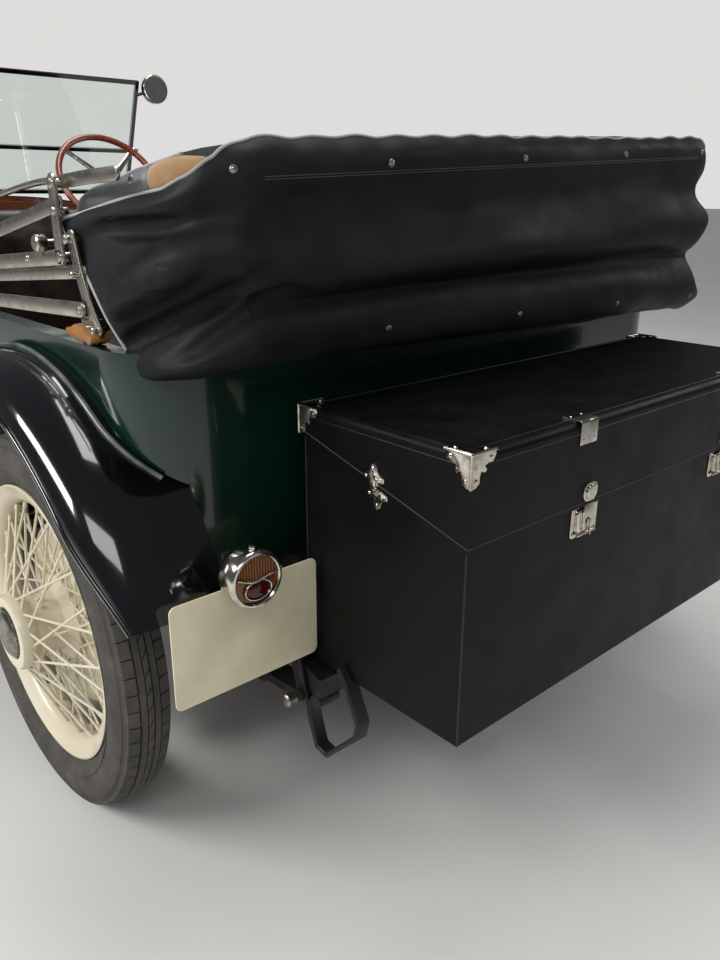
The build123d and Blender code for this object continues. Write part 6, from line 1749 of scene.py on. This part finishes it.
def make_headlamps():
    shells, glasses, mirrors = [], [], []
    at = (LAMP_X, LAMP_Y, LAMP_Z)
    ahead = (0, -1, 0)
    bowl = [(-0.040, 0.0), (-0.038, 0.020), (-0.030, 0.044), (-0.006, 0.080), (0.030, 0.102),
            (0.060, 0.1075), (0.064, 0.1075), (0.066, 0.1165), (0.070, 0.118), (0.083, 0.118),
            (0.088, 0.1145), (0.090, 0.108), (0.086, 0.105), (0.080, 0.105), (0.058, 0.104), (0.030, 0.098),
            (-0.004, 0.076), (-0.026, 0.042), (-0.032, 0.0)]
    shells.append(turned("lamp_bowl", bowl, at, steps=72, axis=ahead))
    shells.append(dome("lamp_screw", (LAMP_X, LAMP_Y - 0.076, LAMP_Z + 0.118), 0.006, 0.004, (0, 0, 1)))
    for a in (-0.5, 0.5):
        spot = (LAMP_X + 0.118 * math.sin(a), LAMP_Y - 0.076, LAMP_Z - 0.118 * math.cos(a))
        shells.append(dome("lamp_clip", spot, 0.005, 0.003, (math.sin(a), 0, -math.cos(a))))
    # Post on its bracket from the rail
    shells.append(bar("lamp_post", (LAMP_X, LAMP_Y - 0.010, LAMP_Z - 0.200),
                      (LAMP_X, LAMP_Y - 0.010, LAMP_Z - 0.088), 0.0142, 24, 0.001))
    shells.append(turned("post_collar", [(0.0, 0.0), (0.0, 0.024), (0.008, 0.024), (0.020, 0.017),
                                         (0.026, 0.0145)], (LAMP_X, LAMP_Y - 0.010, LAMP_Z - 0.188),
                         steps=32, axis=(0, 0, 1)))
    lens = [(0.076, 0.0), (0.078, 0.030), (0.0775, 0.060), (0.0765, 0.104), (0.0805, 0.1045),
            (0.0845, 0.070), (0.0865, 0.035), (0.087, 0.0)]
    glasses.append(turned("lamp_lens", lens, at, steps=64, axis=ahead))
    mirrors.append(turned("lamp_reflector", [(0.050, 0.102), (0.022, 0.090), (-0.006, 0.068),
                                             (-0.022, 0.036), (-0.025, 0.010), (-0.025, 0.0)], at, steps=64,
                          axis=ahead))
    bulb = primitive("uv_sphere", "lamp_bulb", segments=24, ring_count=12, radius=0.014,
                     location=(LAMP_X, LAMP_Y - 0.006, LAMP_Z))
    settle(smooth(bulb, 60))
    glasses.append(bulb)
    mirrors.append(bar("bulb_cap", (LAMP_X, LAMP_Y + 0.024, LAMP_Z), (LAMP_X, LAMP_Y + 0.004, LAMP_Z), 0.009,
                       20, 0.001))
    brackets = [
        block("bracket", (0.3755, LAMP_Y - 0.025, 0.4585), (0.3855, LAMP_Y + 0.005, 0.668), 0.002),
        block("bracket_top", (0.3755, LAMP_Y - 0.025, 0.658), (0.415, LAMP_Y + 0.005, 0.670), 0.002),
    ]
    for name, pieces, slot, finish in (
            ("headlamp_shells", shells, "nickel", NICKEL), ("headlamp_lenses", glasses, "pane", LENS_GLASS),
            ("headlamp_reflectors", mirrors, "nickel", NICKEL)):
        pair = dress(both(name, pieces), "root", slot, finish)
        if name == "headlamp_shells":
            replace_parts(pair, "headlamps")
    dress(both("lamp_brackets", brackets), "root", "nickel", CHASSIS_PAINT)


def core_behind(x, z):
    """Whether the flat face of the radiator core lies behind a place."""
    start = Vector((x, CORE[0].y - 0.3, z))
    hit, place, _, _ = frame["nodes"]["radiator_core"].ray_cast(start, Vector((0, 1, 0)))
    return hit and place.y < CORE[0].y + 0.01


def make_radiator_core():
    """Honeycomb: thin upright fins and level water tubes standing a little ahead of the block."""
    front = CORE[0].y
    fins = []
    low, high = CORE[0].z + 0.004, CORE[1].z - 0.004
    half = CORE[1].x - 0.003
    for x in spaced(-half, half, FIN_COUNT):
        top = next((z for z in (high - step * 0.008 for step in range(60)) if core_behind(x, z)), low)
        if top - low > 0.05:
            fins.append(block("fin", (x - 0.0011, front - 0.008, low), (x + 0.0011, front - 0.0005, top)))
    for z in spaced(low, high, TUBE_ROWS):
        reach = next((x for x in (half - step * 0.004 for step in range(70)) if core_behind(x, z)), 0.0)
        if reach > 0.02:
            fins.append(block("water_tube", (-reach, front - 0.0065, z - 0.0012),
                              (reach, front - 0.0005, z + 0.0012)))
    dress(join("radiator_honeycomb", fins), "root", "radiator_matrix", MATRIX)


def make_radiator_cap():
    middle = (RADIATOR[0].y + RADIATOR[1].y) / 2
    at = (0, middle, RADIATOR[1].z - 0.036)
    cap = turned("radiator_cap", [(0.014, 0.0245), (0.015, 0.0335), (0.019, 0.0345), (0.031, 0.0345),
                                  (0.0355, 0.031), (0.0385, 0.022), (0.0395, 0.010), (0.041, 0.0)], at,
                 steps=64, axis=(0, 0, 1))
    ribs = []
    for i in range(28):
        a = 2 * math.pi * i / 28
        ribs.append(bar("knurl", (0.0345 * math.cos(a), middle + 0.0345 * math.sin(a), at[2] + 0.0185),
                        (0.0345 * math.cos(a), middle + 0.0345 * math.sin(a), at[2] + 0.031), 0.0017, 8))
    neck = turned("filler_neck", [(-0.006, 0.030), (0.0, 0.0265), (0.008, 0.0245), (0.014, 0.0245)], at,
                  steps=48, axis=(0, 0, 1))
    dress(join("radiator_filler", [cap, neck] + ribs), "root", "nickel", NICKEL)
    # Starting crank boss at the foot of the shell
    crank = [turned("crank_boss", [(0.0, 0.0), (0.0, 0.030), (0.006, 0.030), (0.012, 0.020), (0.026, 0.018),
                                   (0.028, 0.0)], (0, RADIATOR[0].y + 0.001, 0.575), steps=32,
                    axis=(0, -1, 0))]
    dress(join("crank_boss", crank), "root", "nickel", DULL_NICKEL)


def make_bonnet_fittings():
    """Two spring catches at each bonnet's foot and a loop handle above the louvres."""
    for side, label in ((1, "left"), (-1, "right")):
        target = frame["nodes"][f"bonnet_{label}"]
        pieces = []
        for y in (-1.62, -1.12):
            hit, place, _, _ = target.ray_cast(Vector((side * 1.2, y, 0.625)), Vector((-side, 0, 0)))
            if not hit:
                continue
            x = place.x
            pieces += [
                block("catch_plate", (min(x, x + side * 0.003), y - 0.014, 0.597),
                      (max(x, x + side * 0.003), y + 0.014, 0.655), 0.001),
                bar("catch_rod", (x + side * 0.008, y, 0.600), (x + side * 0.008, y, 0.668), 0.0042, 16,
                    0.001),
                bar("catch_grip", (x + side * 0.008, y - 0.018, 0.668), (x + side * 0.008, y + 0.018, 0.668),
                    0.0052, 16, 0.002),
            ]
        hit, place, _, _ = target.ray_cast(Vector((side * 1.2, -1.37, 0.965)), Vector((-side, 0, 0)))
        if hit:
            x = place.x
            pieces.append(tube("handle", [(x, -1.43, 0.965), (x + side * 0.024, -1.425, 0.965),
                                          (x + side * 0.026, -1.37, 0.965),
                                          (x + side * 0.024, -1.315, 0.965), (x, -1.31, 0.965)], 0.0052, 4))
            for y in (-1.43, -1.31):
                pieces.append(turned("handle_foot", [(0.0, 0.0), (0.0, 0.013), (0.003, 0.012),
                                                     (0.005, 0.006)], (x - side * 0.0005, y, 0.965),
                                     steps=24, axis=(side, 0, 0)))
        if pieces:
            dress(join(f"bonnet_fittings_{label}", pieces), f"bonnet_{label}", "nickel", NICKEL)


HANDLE_Z = 0.828


def make_door_handles():
    """A bright turning grip on its shank and rose, set over the grip of the CAD door."""
    # Doors: node, side, middle of the grip, how far out it lies
    for node, side, y, x in (("door_front_left", 1, 0.085, 0.735), ("door_rear_left", 1, 0.835, 0.744),
                             ("door_rear_right", -1, 0.835, 0.744)):
        z = HANDLE_Z
        shank_y = y + 0.038
        outline = [(-0.051, 0.0), (-0.050, 0.0060), (-0.044, 0.0085), (-0.020, 0.0074), (0.020, 0.0074),
                   (0.040, 0.0082), (0.050, 0.0090), (0.054, 0.0055), (0.055, 0.0)]
        grip = turned("grip", outline, (side * x, y, z), steps=28, axis=(0, 1, 0))
        shank = bar("shank", (side * (x - 0.029), shank_y, z), (side * x, shank_y, z), 0.0075, 24, 0.001)
        rose = turned("rose", [(0.0, 0.0), (0.0, 0.017), (0.003, 0.0165), (0.006, 0.011), (0.008, 0.008)],
                      (side * (x - 0.0295), shank_y, z), steps=32, axis=(side, 0, 0))
        dress(join(f"{node}_handle", [grip, shank, rose]), node, "nickel", NICKEL)


def make_windscreen():
    """Pivot knobs with their wings, and the mirror's glass and rim on the screen's frame."""
    pieces = []
    for side in (-1, 1):
        x = side * SCREEN_HALF
        pieces.append(turned("pivot", [(0.0, 0.0), (0.0, 0.015), (0.004, 0.017), (0.010, 0.017),
                                       (0.012, 0.011), (0.020, 0.010), (0.022, 0.0)],
                             (x, SCREEN_Y, SCREEN_PIVOT_Z), steps=28, axis=(side, 0, 0)))
        pieces.append(plate("wing", [(-0.022, 0.004), (-0.016, 0.012), (0.0, 0.006), (0.016, 0.012),
                                     (0.022, 0.004), (0.012, -0.004), (-0.012, -0.004)], 0.005,
                            plane_at((x + side * 0.016, SCREEN_Y, SCREEN_PIVOT_Z), (0, side, 0), (0, 0, 1)),
                            0.001))
    dress(join("screen_fittings", pieces), "root", "nickel", NICKEL)
    glass = turned("mirror_glass", [(0.0002, 0.0), (0.0002, 0.050), (0.0012, 0.050), (0.0014, 0.0)],
                   MIRROR_AT, steps=48, axis=(0, 1, 0))
    dress(glass, "root", "nickel", MIRROR_SILVER)
    rim = turned("mirror_rim", [(-0.021, 0.0), (-0.021, 0.046), (-0.018, 0.0555), (0.001, 0.0565),
                                (0.003, 0.054), (0.002, 0.0505), (-0.002, 0.0500)], MIRROR_AT, steps=48,
                 axis=(0, 1, 0))
    dress(rim, "root", "nickel", NICKEL)


def make_board_fittings():
    """Ribbed rubber on each running board, held by a bright edge strip."""
    ribs, strips = [], []
    top = BOARD_TOP
    for side in (-1, 1):
        # The right board's ribs stop behind the spare wheel
        y0, y1 = (-1.05 if side > 0 else -0.22), 0.90
        for i in range(12):
            x = 0.640 + 0.0165 * i
            ribs.append(block("rib", (min(side * (x - 0.004), side * (x + 0.004)), y0, top - 0.0005),
                              (max(side * (x - 0.004), side * (x + 0.004)), y1, top + 0.0022)))
        a, b = sorted((side * 0.846, side * 0.8575))
        strips.append(block("edge_strip", (a, -1.07, top - 0.0005), (b, y1 + 0.02, top + 0.0045), 0.0018, 3))
    dress(join("board_ribs", ribs), "root", "tyre_rubber", TYRE_RUBBER)
    dress(join("board_edge_strips", strips), "root", "nickel", NICKEL)


def make_front():
    make_headlamps()
    make_radiator_core()
    make_radiator_cap()
    make_bonnet_fittings()
    make_door_handles()
    make_windscreen()
    make_board_fittings()


# Camera, floor and light
def make_camera():
    yaw, pitch, roll = (math.radians(a) for a in (CAMERA_YAW, CAMERA_PITCH, CAMERA_ROLL))
    ahead = Vector((-math.sin(yaw) * math.cos(pitch), -math.cos(yaw) * math.cos(pitch), -math.sin(pitch)))
    data = bpy.data.cameras.new("photo_view")
    camera = bpy.data.objects.new("photo_view", data)
    bpy.context.scene.collection.objects.link(camera)
    data.sensor_width = SENSOR
    data.lens = FOCAL_PIXELS / PHOTO_HEIGHT * SENSOR
    data.clip_start = 0.02
    camera.location = CAMERA_PLACE
    turn = ahead.to_track_quat("-Z", "Y").to_matrix() @ Matrix.Rotation(roll, 3, "Z")
    camera.rotation_euler = turn.to_euler()
    bpy.context.scene.camera = camera


def make_stage():
    floor = primitive("plane", "studio_floor", size=120.0, location=(0, 0, 0))
    material, tree, shader, place = new_material("pale_floor",
                                                 **{"Roughness": 0.55, "Specular IOR Level": 0.3})
    # Painted boards, rolled matt: pale grey, hardly clouded
    cloud = patches(tree, place, 900.0, low=0.3, high=0.7)
    color = add(tree, "Mix", {0: cloud, 6: linear("#DAD8D4"), 7: linear("#D2D0CC")}, data_type="RGBA")
    tree.links.new(color.outputs[2], shader.inputs["Base Color"])
    floor.data.materials.append(material)
    world = bpy.data.worlds.new("studio")
    bpy.context.scene.world = world
    world.use_nodes = True
    tree = world.node_tree
    tree.nodes.clear()
    path = add(tree, "LightPath")
    seen = add(tree, "Math", {0: path.outputs["Is Camera Ray"], 1: path.outputs["Is Transmission Ray"]},
               operation="MAXIMUM").outputs[0]
    soft = add(tree, "Background", {"Color": linear("#F4F6FA"), "Strength": 0.46})
    dark = add(tree, "Background", {"Color": linear("#C8CCD4"), "Strength": 0.16})
    pale = add(tree, "Background", {"Color": linear("#DEDDDB"), "Strength": 1.0})
    lit = add(tree, "MixShader", {0: path.outputs["Is Glossy Ray"], 1: soft.outputs[0], 2: dark.outputs[0]})
    mixed = add(tree, "MixShader", {0: seen, 1: lit.outputs[0], 2: pale.outputs[0]})
    add(tree, "OutputWorld", {"Surface": mixed.outputs[0]})


def make_lights():
    # Softboxes: name, place, aim, width, height, watts
    boxes = [
        ("key_softbox", (3.0, 4.4, 3.6), (0.0, 1.2, 0.8), 2.6, 1.2, 44.0),
        ("side_softbox", (4.3, 0.4, 3.4), (0.6, 1.0, 0.8), 3.5, 0.8, 185.0),
        ("top_softbox", (-0.6, 0.4, 4.8), (0.0, 0.2, 0.6), 4.5, 1.6, 120.0),
        ("back_softbox", (-4.2, 3.0, 2.8), (-0.4, 1.4, 0.7), 2.5, 1.2, 28.0),
    ]
    for name, place, aim, width, height, watts in boxes:
        data = bpy.data.lights.new(name, "AREA")
        data.shape = "RECTANGLE"
        data.size, data.size_y = width, height
        data.energy = watts
        lamp = bpy.data.objects.new(name, data)
        bpy.context.scene.collection.objects.link(lamp)
        lamp.location = place
        lamp.rotation_euler = (Vector(aim) - Vector(place)).to_track_quat("-Z", "Y").to_euler()


make_camera()
make_stage()
make_lights()
dress_frame()
make_wheels()
make_trunk_fittings()
make_rear_lamp()
make_hood()
make_rear_fenders()
make_front_fenders()
make_irons()
make_cabin()
make_front()

bpy.context.scene.view_settings.view_transform = "Standard"
